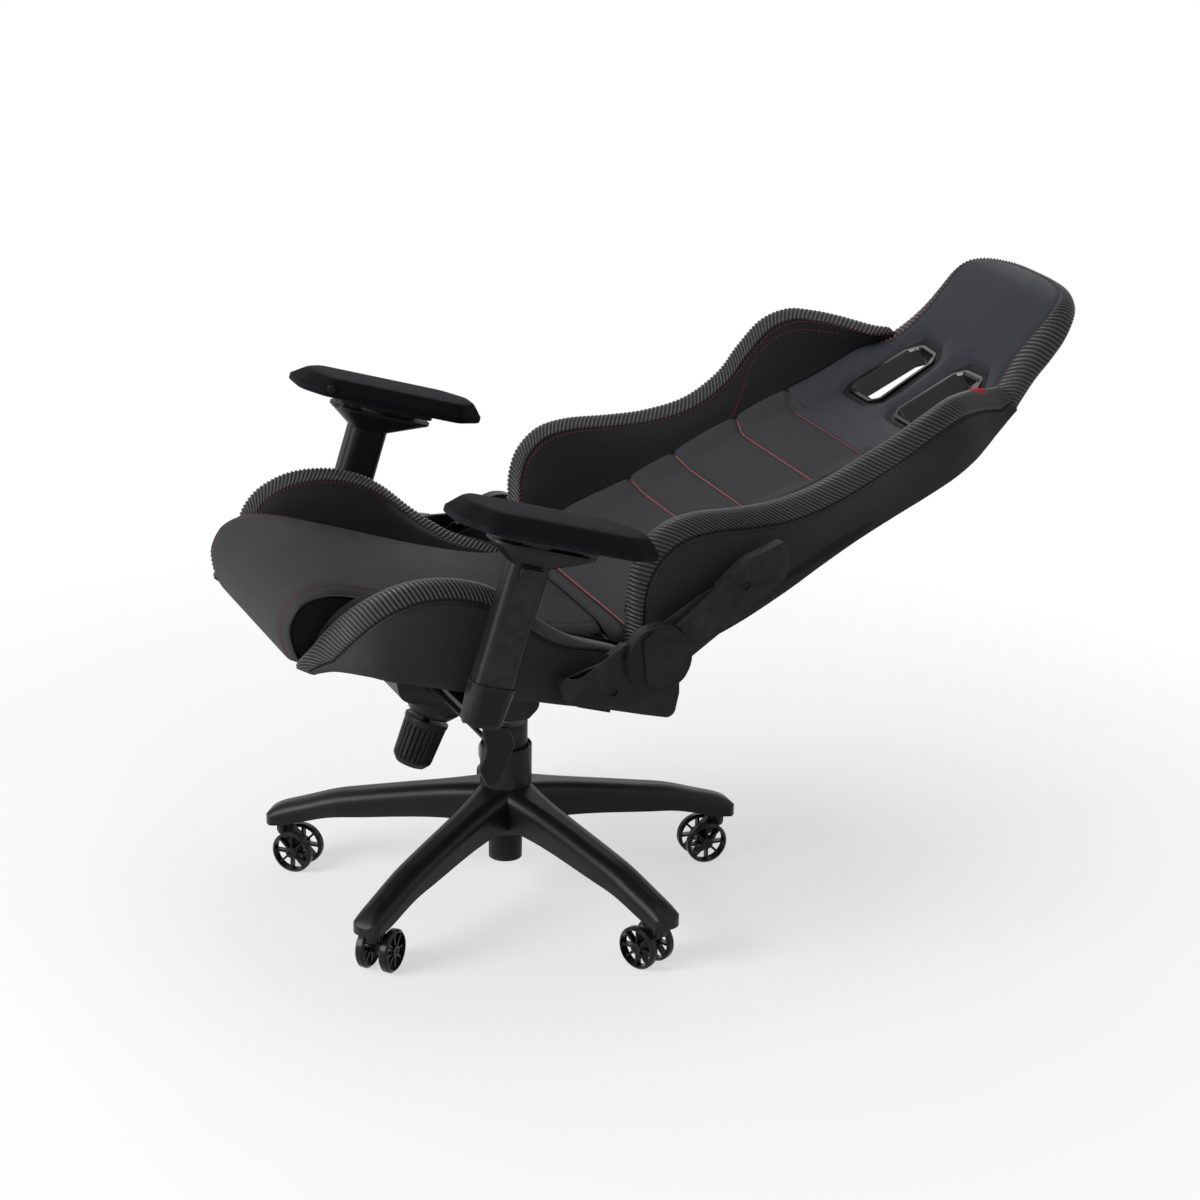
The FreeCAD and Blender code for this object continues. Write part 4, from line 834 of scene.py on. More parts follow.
@dataclass(frozen=True)
class Thread:
    """Twisted sewing thread or a covered piping cord."""

    name: str
    colour: Triple
    roughness: float = 0.6

    def material(self) -> bpy.types.Material:
        """Makes the finish's nodes.

        Returns:
            the material.
        """
        s = Shader(self.name)
        darker = tuple(c * 0.6 for c in self.colour)
        s.colour(s.blend(s.spread(s.noise(300.0), 0.0, 1.0), darker, self.colour))
        s.rough(s.spread(s.noise(200.0), self.roughness - 0.08, self.roughness + 0.08))
        s.normal(s.bump(s.noise(2500.0, 2.0), 0.08))
        s.constant(Specular_IOR_Level=0.15)
        return s.material


class Finish(Enum):
    """Every finish on the chair, by the piece it dresses."""

    CENTRE_HIDE = Hide("centre_hide", (0.040, 0.040, 0.042), 0.60, 800.0, 0.07, 0.04)
    HEAD_HIDE = Hide("head_hide", (0.030, 0.031, 0.038), 0.48, 900.0, 0.05, 0.08)
    COLLAR = Hide("collar_hide", (0.006, 0.006, 0.007), 0.45, 1000.0, 0.04, 0.10)
    WING_HIDE = Hide("wing_hide", (0.010, 0.010, 0.011), 0.60, 1300.0, 0.05, 0.05)
    SIDE_HIDE = Hide("side_hide", (0.036, 0.036, 0.038), 0.55, 1000.0, 0.05, 0.06)
    SHELL_HIDE = Hide("shell_hide", (0.016, 0.016, 0.017), 0.55, 1000.0, 0.06, 0.06)
    BAND = Ribbed("ribbed_band", (0.048, 0.048, 0.050), 0.32)
    PAD = Moulding("pad_skin", (0.010, 0.010, 0.012), 0.60, 1600.0, 0.04, 2.4, 0.0, 0.02)
    PLASTIC = Moulding("black_moulding", (0.009, 0.009, 0.010), 0.40, 1300.0, 0.05, 2.4)
    GLOSS = Moulding("gloss_moulding", (0.003, 0.003, 0.004), 0.08, 300.0, 0.01, 1.3, 0.35)
    WHEEL = Moulding("wheel_moulding", (0.006, 0.006, 0.007), 0.28, 900.0, 0.03, 2.4, 0.1)
    METAL = Coating("satin_coating", (0.008, 0.008, 0.009), 0.36)
    FRAME = Coating("frame_coating", (0.010, 0.010, 0.011), 0.5, 500.0)
    STEEL = Steel("ground_steel", (0.62, 0.62, 0.64), 0.22)
    POLYMER = Moulding("bearing_polymer", (0.5, 0.49, 0.45), 0.5, 800.0, 0.03, 1.1)
    RED_THREAD = Thread("red_thread", (0.34, 0.028, 0.045))
    BLACK_THREAD = Thread("black_thread", (0.008, 0.008, 0.009))
    RED_PIPING = Thread("red_piping", (0.30, 0.085, 0.095), 0.5)
    BLACK_PIPING = Thread("black_piping", (0.005, 0.005, 0.005), 0.35)
    RED_TAB = Thread("red_tab", (0.55, 0.012, 0.02), 0.55)

    def material(self) -> bpy.types.Material:
        """The finish's material, made once."""
        found = bpy.data.materials.get(self.value.name)
        return found or self.value.material()


def dress(thing: bpy.types.Object, *finishes: Finish) -> bpy.types.Object:
    """Gives a piece its finishes.

    Args:
        thing: the piece.
        finishes: its finishes, in the order of its material slots.
    Returns:
        the piece.
    """
    thing.data.materials.clear()
    for finish in finishes:
        thing.data.materials.append(finish.material())
    return thing


def seated(thing: bpy.types.Object, body: str) -> bpy.types.Object:
    """Rides a piece on a body.

    Args:
        thing: the piece.
        body: the body.
    Returns:
        the piece.
    """
    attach(thing, body)
    log.info("%s on %s: %d faces", thing.name, body, len(thing.data.polygons))
    return thing


@dataclass(frozen=True)
class Ribs:
    """Slanted ribs moulded across an edge band; sizes in millimetres."""

    pitch: float = 6.2
    height: float = 2.2
    slant: float = -0.65
    steps: int = 7
    crest: float = 1.3

    def band(self, name: str, grid: Array, lean: Leaning, flip: Array) -> bpy.types.Object:
        """A ribbed band lying on a strip of surface.

        Args:
            name: the band's name.
            grid: points along and across the strip, evenly spaced along it.
            lean: the frame it is drawn in.
            flip: mirrors drawn points to their side.
        Returns:
            the band.
        """
        out = np.cross(np.gradient(grid, axis=0), np.gradient(grid, axis=1))
        out /= np.linalg.norm(out, axis=2)[..., None] + 1e-9
        row, column = len(grid) // 2, grid.shape[1] // 2
        middle = grid[row]
        if out[row, column] @ (middle[column] - (middle[0] + middle[-1]) / 2) < 0:
            out = -out
        line = grid[:, column]
        length = float(np.linalg.norm(np.diff(line, axis=0), axis=1).sum())
        steps = np.linalg.norm(np.diff(grid, axis=1), axis=2).mean(axis=0)
        over = np.concatenate([[0.0], np.cumsum(steps)])
        lean_in = over[-1] * self.slant
        last = length + max(0.0, lean_in)
        starts = np.append(np.arange(min(0.0, lean_in), last, self.pitch / self.steps), last)
        along = np.clip(starts[:, None] - over[None, :] * self.slant, 0.0, length)
        rows = along / length * (len(grid) - 1)
        low = np.clip(np.floor(rows).astype(int), 0, len(grid) - 2)
        share = (rows - low)[..., None]
        columns = np.arange(grid.shape[1])[None, :]
        skin = grid[low, columns] * (1 - share) + grid[low + 1, columns] * share
        lift = out[low, columns] * (1 - share) + out[low + 1, columns] * share
        edge = np.minimum(np.minimum(over, over[-1] - over)[None, :], np.minimum(along, length - along))
        sewn = smooth(edge, 0.0, 3.0)
        wave = (0.5 - 0.5 * np.cos(2 * math.pi * starts / self.pitch)) ** self.crest
        rib = np.repeat(wave[:, None], len(over), 1)
        top = skin + lift * (-1.8 + sewn * (2.1 + rib * self.height))[..., None]
        under = (skin - lift * 2.8)[:, ::-1][:, [0, -1]]
        rings = lean.place(np.concatenate([top, under], axis=1) * flip)
        # The rib value, 0 at the band's seams, is what the band's painted shade and painted highlight
        # follow.
        return ringed(name, rings, rib=np.pad(rib * sewn, ((0, 0), (0, 2))))


# ---- Upholstered edges: wings and bolsters ----
@dataclass(frozen=True)
class Station:
    """One stretch of a rimmed pad: its crest, inner root, outer foot and hidden keel."""

    crest: Triple
    root: Triple
    foot: Triple
    keel: Triple


@dataclass
class RimmedPad:
    """A side wing or bolster whose edge carries a ribbed band, drawn for the sitter's left."""

    name: str
    node: str
    body: str
    lean: Leaning
    stations: Sequence[Station]
    inner_band: tuple[float, float] = (24.0, 9.0)
    outer_band: tuple[tuple[float, float, float], ...] = ((0.0, 31.0, 0.0), (1.0, 31.0, 0.0))
    inner_puff: float = 5.0
    outer_puff: float = 4.0
    rows: int = 170
    ribs: Ribs = Ribs()
    seams: tuple[float, float] = (2.0, 4.0)
    panel_seam: tuple[tuple[float, float], ...] = ()

    def sections(self, count: int) -> Array:
        """Control points across the pad, evenly spaced along its crest.

        Args:
            count: how many sections.
        Returns:
            count x 7 x 3 points from the inner root over the crest to the foot.
        """
        table = [(*s.crest, *s.root, *s.foot) for s in self.stations]
        lines = even(table, count)
        crest, root, foot = lines[:, 0:3], lines[:, 3:6], lines[:, 6:9]
        ahead = np.gradient(crest, axis=0)
        ahead /= np.linalg.norm(ahead, axis=1)[:, None]
        side = np.array([1.0, 0.0, 0.0])
        into = (root + foot) / 2 - crest
        into[:, 0] = 0.0
        flat = ahead.copy()
        flat[:, 0] = 0.0
        flat /= np.linalg.norm(flat, axis=1)[:, None]
        into -= flat * np.sum(into * flat, axis=1)[:, None]
        into /= np.linalg.norm(into, axis=1)[:, None]
        for _ in range(6):
            into[1:-1] = (into[:-2] + into[1:-1] * 2 + into[2:]) / 4
        near = np.clip(np.linalg.norm(root - crest, axis=1) / 34.0, 0.2, 1.0)[:, None]
        span = np.linalg.norm(foot - crest, axis=1)[:, None]
        room = np.clip(span / 90.0, 0.1, 1.0)
        inner = crest + near * (into * self.inner_band[1] - side * self.inner_band[0])
        share, width, shoulder = (np.array(column) for column in zip(*self.outer_band))
        place = np.linspace(0.0, 1.0, count)
        wide = np.interp(place, share, width)[:, None]
        square = np.interp(place, share, shoulder)[:, None]
        outer = crest + (foot - crest) * np.minimum(wide / span, 0.62)
        outer = outer + room * (side * 7.0 - into * 3.0) + square * (side * 0.6 - into * 0.8)
        inner_mid = root * 0.5 + inner * 0.5 - near**2 * (side * 0.6 + into * 0.8) * self.inner_puff
        outer_mid = outer * 0.45 + foot * 0.55 + room**2 * side * self.outer_puff
        return np.stack([root, inner_mid, inner, crest, outer, outer_mid, foot], axis=1)

    def across(self, knots: Array, at: Array) -> Array:
        """Points across every section.

        Args:
            knots: count x 7 x 3 control points.
            at: places across, 0 at the root and 6 at the foot.
        Returns:
            count x len(at) x 3 points.
        """
        first = 2 * knots[:, :1] - knots[:, 1:2]
        last = 2 * knots[:, -1:] - knots[:, -2:-1]
        p = np.concatenate([first, knots, last], axis=1)
        i = np.clip(np.floor(at).astype(int), 0, 5)
        f = (at - i)[None, :, None]
        return between(p[:, i], p[:, i + 1], p[:, i + 2], p[:, i + 3], f)

    def normals(self, grid: Array) -> Array:
        """Outward directions of a grid of points on the pad.

        Args:
            grid: points along and across the pad.
        Returns:
            a unit direction per point.
        """
        along = np.gradient(grid, axis=0)
        over = np.gradient(grid, axis=1)
        n = np.cross(along, over)
        n /= np.linalg.norm(n, axis=2)[..., None] + 1e-9
        middle = grid[len(grid) // 2, grid.shape[1] // 2]
        inside = self.sections(3)[1, [0, 6]].mean(axis=0)
        if n[len(grid) // 2, grid.shape[1] // 2] @ (middle - inside) < 0:
            n = -n
        return n

    def across_places(self) -> Array:
        """Places across the pad, crowded at the seams.

        Returns:
            the places, 0 at the root and 6 at the foot.
        """
        steps = (-0.14, -0.07, -0.03, 0.0, 0.03, 0.07, 0.14)
        near = {seam + step for seam in self.seams for step in steps}
        return np.array(sorted(near | set(np.linspace(0.0, 6.0, 43).round(4).tolist())))

    def build(self, side: Side) -> list[bpy.types.Object]:
        """Makes the pad, its band and its stitching on one side.

        Args:
            side: which side of the sitter.
        Returns:
            the pieces made.
        """
        flip = np.array([side.value, 1.0, 1.0])
        knots = self.sections(self.rows)
        places = self.across_places()
        grid = self.across(knots, places)
        out = self.normals(grid)
        grooves = sum(notch(places, seam, 0.06) for seam in self.seams)
        grid = grid - out * (grooves * 1.8)[None, :, None]
        keel = even([(*s.crest, *s.keel) for s in self.stations], self.rows)[:, None, 3:6]
        rings = self.lean.place(np.concatenate([grid, keel], axis=1) * flip)
        pad = ringed(f"{self.name}_{side.word}", rings)
        self.colour_panels(pad, places)
        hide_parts(f"{self.node}_{side.word}")
        made = [seated(pad, self.body)]
        made.append(self.band(side, flip))
        threads = ((self.seams[0] - 0.13, Finish.RED_THREAD), (self.seams[1] + 0.10, Finish.BLACK_THREAD))
        for place, finish in threads:
            line = self.across(self.sections(400), np.array([place - 0.02, place, place + 0.02]))
            lifted = line[:, 1] + self.normals(line)[:, 1] * 0.25
            name = f"{self.name}_{finish.name.lower()}_{side.word}"
            thread = stitched(name, self.lean.place(lifted * flip))
            made.append(seated(dress(thread, finish), self.body))
        if self.panel_seam:
            thread = stitched(f"{self.name}_panel_stitching_{side.word}", self.panel_line(flip))
            made.append(seated(dress(thread, Finish.RED_THREAD), self.body))
        return made

    def colour_panels(self, pad: bpy.types.Object, places: Array) -> None:
        """Gives the inner panel and the outer panel their own hides.

        Args:
            pad: the pad.
            places: its vertices' places across.
        """
        dress(pad, Finish.WING_HIDE, Finish.SIDE_HIDE)
        columns = len(places) + 1
        middle = float(np.searchsorted(places, 3.0))
        for polygon in pad.data.polygons:
            if len(polygon.vertices) > 4:
                continue
            column = np.mean([v % columns for v in polygon.vertices])
            polygon.material_index = 1 if column > middle else 0

    def band(self, side: Side, flip: Array) -> bpy.types.Object:
        """The ribbed band over the crest.

        Args:
            side: which side of the sitter.
            flip: mirrors drawn points to that side.
        Returns:
            the band.
        """
        strip = self.across(self.sections(420), np.linspace(*self.seams, 19))
        band = self.ribs.band(f"{self.name}_band_{side.word}", strip, self.lean, flip)
        return seated(dress(band, Finish.BAND), self.body)

    def tab(self, low: float, high: float) -> bpy.types.Object:
        """A small plain woven tab sewn into the left pad's inner seam.

        Args:
            low: height of its lower end.
            high: height of its upper end.
        Returns:
            the tab.
        """
        knots = self.sections(900)
        inside = (knots[:, 3, 2] > low) & (knots[:, 3, 2] < high)
        knots = knots[inside][:: max(1, int(inside.sum() // 16))]
        grid = self.across(knots, self.seams[0] + np.linspace(0.30, 1.22, 9))
        out = self.normals(grid)
        if out[:, :, 1].mean() > 0:
            out = -out
        swell = np.sin(np.linspace(0.15, 1.0, 9) * math.pi)[None, :, None]
        top = grid + out * (1.4 + 2.2 * swell)
        under = (grid - out * 1.0)[:, ::-1]
        loop = ringed("side_tab", self.lean.place(np.concatenate([top, under], axis=1)))
        return seated(dress(loop, Finish.RED_TAB), self.body)

    def panel_line(self, flip: Array) -> Array:
        """The seam that curves over the inner panel.

        Args:
            flip: mirrors drawn points to their side.
        Returns:
            points of the seam, in metres.
        """
        knots = self.sections(400)
        wanted = spline(self.panel_seam, 400)
        places = np.interp(knots[:, 0, 2], wanted[:, 0], wanted[:, 1])
        fine = np.linspace(0.0, 2.0, 61)
        grid = self.across(knots, fine)
        lifted = grid + self.normals(grid) * 0.3
        inside = (knots[:, 0, 2] >= wanted[0, 0]) & (knots[:, 0, 2] <= wanted[-1, 0])
        at = np.clip(places / 2.0 * 60.0, 0.0, 59.999)
        low = np.floor(at).astype(int)
        share = (at - low)[:, None]
        rows = np.arange(400)
        line = lifted[rows, low] * (1 - share) + lifted[rows, low + 1] * share
        return self.lean.place(line[inside] * flip)


# ---- Shape of the backrest, drawn upright from its hinge in millimetres ----
FRONT_LINE = (
    # depth, height
    (-16, 0), (-16, 40), (-15, 100), (-10, 180), (-3, 250), (8, 342), (20, 430), (31, 500),
    (35, 560), (31, 620), (8, 690), (-14, 750), (-16, 775), (-8, 797), (4, 806),
)
REAR_LINE = (
    # depth, height
    (22, 0), (34, 40), (47, 85), (51, 150), (52, 214), (52, 281), (54, 362), (56, 440), (58, 500),
    (60, 560), (60, 600), (60, 630), (45, 700), (24, 762), (16, 790), (4.5, 808),
)
ROOT_LINE = (
    # half width, height
    (200, -20), (200, 0), (187, 18), (170, 38), (155, 64), (145, 102), (138, 150), (136, 205), (141, 256),
    (148, 316), (153, 376), (157, 428), (163, 480), (168, 520), (170, 548), (168, 570), (163, 590),
    (157, 610), (148, 630), (140, 700), (140, 810),
)
SIDE_RISE = 11.0
BAND_FOOT = 611.0
EDGE_LINE = (
    # half width, height
    (192, 10), (226, 36), (250, 70), (260, 120), (259, 220), (254, 315), (249, 385), (245, 440),
    (240, 490), (228, 530), (212, 570), (192, 605), (172, 640), (157, 680), (152, 715), (148, 742),
    (138, 764), (122, 781), (101, 793), (75, 801), (45, 806), (20, 808), (0, 808),
)


def front_depth(z: Array) -> Array:
    """Depth of the front surface at heights above the hinge."""
    return lookup(FRONT_LINE, z)


def rear_depth(z: Array) -> Array:
    """Depth of the rear surface at heights above the hinge."""
    return lookup(REAR_LINE, z)


def middle_depth(z: Array) -> Array:
    """Depth at which the front padding meets the rear cover."""
    return front_depth(z) + (rear_depth(z) - front_depth(z)) * 0.55


def edge_half_width(z: Array) -> Array:
    """Half the backrest's width at heights above the hinge."""
    fine = spline(EDGE_LINE, 600)
    return np.interp(z, fine[:, 1], fine[:, 0])


def edge_distance(x: Array, z: Array) -> Array:
    """Distance of points in the front view from the backrest's outline.

    Args:
        x: the points' side distances.
        z: their heights above the hinge.
    Returns:
        the distances, shaped like x.
    """
    fine = spline(EDGE_LINE, 500)
    flat = np.stack([np.abs(x).ravel(), z.ravel()], axis=1)
    return segment_distance(flat, fine[:-1], fine[1:]).reshape(x.shape)


def rolled(distance: Array, radius: float) -> Array:
    """How far a rounded edge has turned back, 0 on the flat and 1 at the rim."""
    t = np.clip(1.0 - distance / radius, 0.0, 1.0)
    return 1.0 - np.sqrt(1.0 - t * t + 1e-9)


def root_half_width(z: Array | float) -> Array:
    """Half the width between the wings' roots at heights above the hinge."""
    return lookup(ROOT_LINE, z)


def side_rise(x: Array, z: Array) -> Array:
    """How far the front surface comes forward as it meets the wings."""
    beside = smooth(np.abs(x) - root_half_width(z), -52.0, 0.0)
    return SIDE_RISE * beside * smooth(z, 20.0, 90.0) * (1.0 - smooth(z, 560.0, 620.0))


def kink(x: Array, z: Array | float) -> Array:
    """How far a back channel turns up towards its ends; the lower ones run straight."""
    return 20.0 * smooth(np.abs(x), 110.0, 152.0) * smooth(z, 230.0, 430.0)


WING_CREST = (
    # crest x, y, z; root z; foot x, z
    (206, 8, -13, -4, 226, 4),
    (212, -12, -3, 0, 237, 8),
    (214, -30, 6, 4, 246, 15),
    (218, -60, 22, 18, 252, 34),
    (223, -90, 42, 38, 256, 56),
    (227, -112, 70, 64, 260, 84),
    (229, -120, 108, 102, 262, 118),
    (228, -108, 150, 150, 262, 158),
    (226, -78, 205, 205, 260, 212),
    (222, -54, 256, 256, 256, 262),
    (218, -38, 316, 316, 252, 322),
    (226, -38, 378, 376, 252, 382),
    (246, -47, 430, 428, 254, 434),
    (257, -55, 480, 480, 252, 482),
    (249, -51, 520, 520, 242, 520),
    (229, -36, 548, 546, 228, 548),
    (208, -19, 571, 569, 215, 571),
    (190, -2, 590, 586, 205, 591),
    (174, 13, 607, 602, 196, 608),
    (163, 24, 624, 618, 188, 625),
)


def wing_stations() -> list[Station]:
    """The wing's stations, its roots on the front surface and its feet at the rear edge.

    Returns:
        the stations from the hinge up.
    """
    made = []
    for cx, cy, cz, rz, fx, fz in WING_CREST:
        rx = float(root_half_width(rz)) - 2.0
        front = float(front_depth(rz)) - float(side_rise(np.array(rx + 2.0), np.array(float(rz))))
        made.append(Station(
            (cx, cy, cz), (rx, front + 1.0, rz), (fx - 2, float(rear_depth(fz)) - 7.0, fz),
            (rx + 8.0, float(middle_depth(rz)) + 2.0, (rz + fz) / 2),
        ))
    return made


SEAT_CREST = (
    # crest x, y, z; root y, z; foot x, y, z
    (184, -381, 350, -372, 348, 207, -366, 352),
    (186, -378, 361, -370, 356, 214, -360, 358),
    (190, -368, 381, -362, 374, 226, -350, 366),
    (198, -362, 401, -356, 392, 242, -340, 372),
    (212, -356, 424, -350, 412, 256, -326, 376),
    (226, -350, 444, -343, 428, 264, -312, 378),
    (237, -336, 466, -330, 442, 268, -300, 378),
    (242, -316, 485, -314, 450, 270, -286, 378),
    (245, -292, 500, -294, 453, 270, -268, 379),
    (246, -262, 511, -266, 455, 270, -244, 379),
    (247, -226, 517, -232, 455, 270, -214, 380),
    (247, -188, 516, -194, 454, 270, -182, 380),
    (246, -150, 506, -156, 453, 270, -150, 382),
    (243, -106, 486, -110, 453, 270, -110, 383),
    (235, -74, 474, -78, 453, 270, -74, 384),
    (224, -42, 465, -44, 455, 269, -42, 385),
    (214, -4, 461, -6, 457, 268, -4, 387),
    (208, 34, 458, 32, 456, 267, 36, 389),
    (204, 70, 453, 70, 449, 266, 74, 390),
)


def bolster_stations() -> list[Station]:
    """The seat bolster's stations.

    Returns:
        the stations from the front to the hinge.
    """
    return [
        Station((cx, cy, cz), (170.0, ry, rz), (fx, fy, fz), (172.0, (ry + fy) / 2, fz))
        for cx, cy, cz, ry, rz, fx, fy, fz in SEAT_CREST
    ]


# ---- Upholstered centres ----
@dataclass
class SeatCentre:
    """The seat's middle panel with its rolled front, piped and stitched at its edges."""

    half_width: float = 170.0
    crown: float = 6.0
    edge_radius: float = 34.0
    seam_x: float = 153.0
    columns: int = 75
    profile: tuple[tuple[float, float], ...] = (
        (100, 393), (20, 381), (-150, 376), (-300, 373), (-352, 356), (-374, 347), (-388, 356),
        (-404, 380), (-410, 404), (-401, 434), (-372, 454), (-330, 461), (-240, 461), (-140, 458),
        (-60, 459), (-10, 464), (20, 471), (32, 472), (40, 463), (48, 454), (58, 446), (76, 442),
        (100, 430),
    )

    def skin(self, x: float, inset: float, around: int = 150) -> Array:
        """The panel's profile at one side distance, drawn in by an inset.

        Args:
            x: side distance.
            inset: how far its edge is drawn in.
            around: points round it.
        Returns:
            around x 3 points.
        """
        line = even([(y, z, 0.0) for y, z in self.profile], around)[:, :2]
        run = np.gradient(line, axis=0)
        run /= np.linalg.norm(run, axis=1)[:, None]
        out = np.stack([run[:, 1], -run[:, 0]], axis=1)
        if out[around // 2] @ (line[around // 2] - line.mean(axis=0)) < 0:
            out = -out
        top = smooth(line[:, 1], 425.0, 452.0) * smooth(-line[:, 0], -60.0, 20.0)
        rise = self.crown * (1.0 - (x / self.half_width) ** 2)
        line = line - out * inset + np.stack([np.zeros(around), top * rise], axis=1)
        return np.column_stack([np.full(around, x), line])

    def rolled_in(self, x: float) -> float:
        """How far the panel's rolled side edge has turned in at a side distance."""
        near = min(1.0, max(0.0, x - (self.half_width - self.edge_radius)) / self.edge_radius)
        return 0.4 * self.edge_radius * (1.0 - math.sqrt(1.0 - near * near))

    def build(self) -> list[bpy.types.Object]:
        """Makes the panel, its piping and its stitching.

        Returns:
            the pieces made.
        """
        rings = []
        for x in self.half_width * crowded(self.columns, 1.5):
            inset = self.rolled_in(float(abs(x)))
            seam = 1.6 * float(notch(np.array(abs(x)), self.seam_x, 2.4))
            rings.append(self.skin(float(x), inset + seam))
        drawn = np.array(rings)
        beside = np.abs(drawn[..., 0])
        loose = smooth(drawn[..., 2], 398.0, 436.0) * smooth(self.half_width - beside, 3.0, 26.0)
        loose *= 1.0 - 0.85 * notch(beside, self.seam_x, 7.0)
        loose *= smooth(60.0 - drawn[..., 1], 0.0, 50.0)
        panel = inflated(ringed("seat_centre", SEAT.place(drawn), loose=loose), 9.0)
        dress(panel, Finish.CENTRE_HIDE, Finish.WING_HIDE)
        for polygon in panel.data.polygons:
            polygon.material_index = 1 if abs(polygon.normal.x) > 0.9 else 0
        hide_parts("seat_cushion")
        made = [seated(panel, "seat")]
        for side in Side:
            rim = self.half_width - 0.5
            edge = self.skin(side.value * rim, self.rolled_in(rim) - 1.0)
            front = edge[(edge[:, 1] < -250) & ((edge[:, 2] > 400) | (edge[:, 1] < -366))]
            cord = tube(f"seat_piping_{side.word}", SEAT.place(front), 2.0 * MM)
            made.append(seated(dress(cord, Finish.BLACK_PIPING), "seat"))
            line = self.skin(side.value * self.seam_x, self.rolled_in(self.seam_x) - 0.1)
            front = line[(line[:, 1] < -280) & ((line[:, 2] > 400) | (line[:, 1] < -372))]
            thread = stitched(f"seat_stitching_{side.word}", SEAT.place(front))
            made.append(seated(dress(thread, Finish.RED_THREAD), "seat"))
        return made


@dataclass
class BackCentre:
    """The backrest's middle panel: padded channels between piped seams, and a rolled foot."""

    top: float = 423.0
    foot: tuple[tuple[float, float], ...] = (
        (-11, 22), (-12, 8), (-13.5, 0), (-16.5, -5), (-15.5, -13), (-9, -20), (2, -22),
        (14, -19), (25, -10), (29, 4), (27, 16), (18, 25), (4, 30), (-11, 22),
    )
    foot_half_width: float = 197.0
    channels: tuple[float, ...] = (1.0, 171.0, 245.0, 342.0)
    puff: float = 4.0
    groove: float = 3.0

    def depth(self, x: Array, z: Array) -> Array:
        """Depth of the padded front at points of the front view.

        Args:
            x: the points' side distances.
            z: their heights above the hinge, before the channels turn up.
        Returns:
            the depths.
        """
        y = front_depth(z + kink(x, z))
        seams = (*self.channels, self.top)
        for low, high in zip(seams, seams[1:]):
            inside = np.clip((z - low) / (high - low), 0.0, 1.0)
            y = y - self.puff * np.sqrt(np.sin(inside * math.pi) * (inside > 0) * (inside < 1))
        for seam in seams[1:]:
            y = y + self.groove * notch(z, seam, 4.0)
        return y - side_rise(x, z)

    def half(self, z: Array) -> Array:
        """Half the panel's width at a height, a little under the wings."""
        return root_half_width(z) + 3.0

    def sewn(self, x: Array, z: Array) -> Array:
        """How free the padding is.

        Args:
            x: side distances.
            z: heights above the hinge.
        Returns:
            0 at a seam to 1 between seams.
        """
        free = smooth(self.half(z) - np.abs(x), 4.0, 30.0)
        for seam in (*self.channels, self.top):
            free = free * smooth(np.abs(z - seam), 3.0, 22.0)
        return free

    def build(self) -> list[bpy.types.Object]:
        """Makes the panel and its piping.

        Returns:
            the pieces made.
        """
        near_seams = [seam + np.linspace(-9, 9, 9) for seam in self.channels[1:]]
        rows = np.unique(np.concatenate([np.linspace(-1.0, self.top, 120)] + near_seams))
        rows = rows[rows <= self.top]
        x, z = np.meshgrid(np.linspace(-1.0, 1.0, 61), rows)
        x = x * self.half(z)
        turned = z + kink(x, z)
        front = np.stack([x, self.depth(x, z), turned], axis=2)
        rear = np.stack([x, middle_depth(turned), turned], axis=2)[:, ::-1]
        free = self.sewn(x, z)
        panel = inflated(ringed(
            "back_centre", BACK.place(np.concatenate([front, rear], axis=1)),
            loose=np.concatenate([free, np.zeros_like(free)], axis=1),
        ), 7.0)
        dress(panel, Finish.CENTRE_HIDE)
        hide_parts("back_cushion")
        made = [seated(panel, "back"), self.roll()]
        for seam in (*self.channels, self.top):
            reach = float(self.half(np.array(seam))) - (12.0 if seam > self.channels[0] else 2.0)
            line = np.linspace(-reach, reach, 90)
            level = np.full(90, seam)
            path = np.stack([line, self.depth(line, level) - 0.7, level + kink(line, level)], axis=1)
            cord = tube(f"back_piping_{int(seam)}", BACK.place(path), 1.1 * MM)
            made.append(seated(dress(cord, Finish.RED_PIPING), "back"))
        return made

    def roll(self) -> bpy.types.Object:
        """The skirt that closes the padding's foot, inside the sweep of the hinge.

        Returns:
            the skirt.
        """
        around = even([(y, z, 0.0) for y, z in self.foot], 60)[:-1, :2]
        rings = []
        for x in np.linspace(-self.foot_half_width, self.foot_half_width, 47):
            size = 1.0 - 0.24 * float(smooth(np.array(abs(x)), 164.0, self.foot_half_width))
            rings.append(np.column_stack([np.full(len(around), x), around * size]))
        skirt = ringed("back_roll", BACK.place(np.array(rings)))
        return seated(dress(skirt, Finish.CENTRE_HIDE), "back")


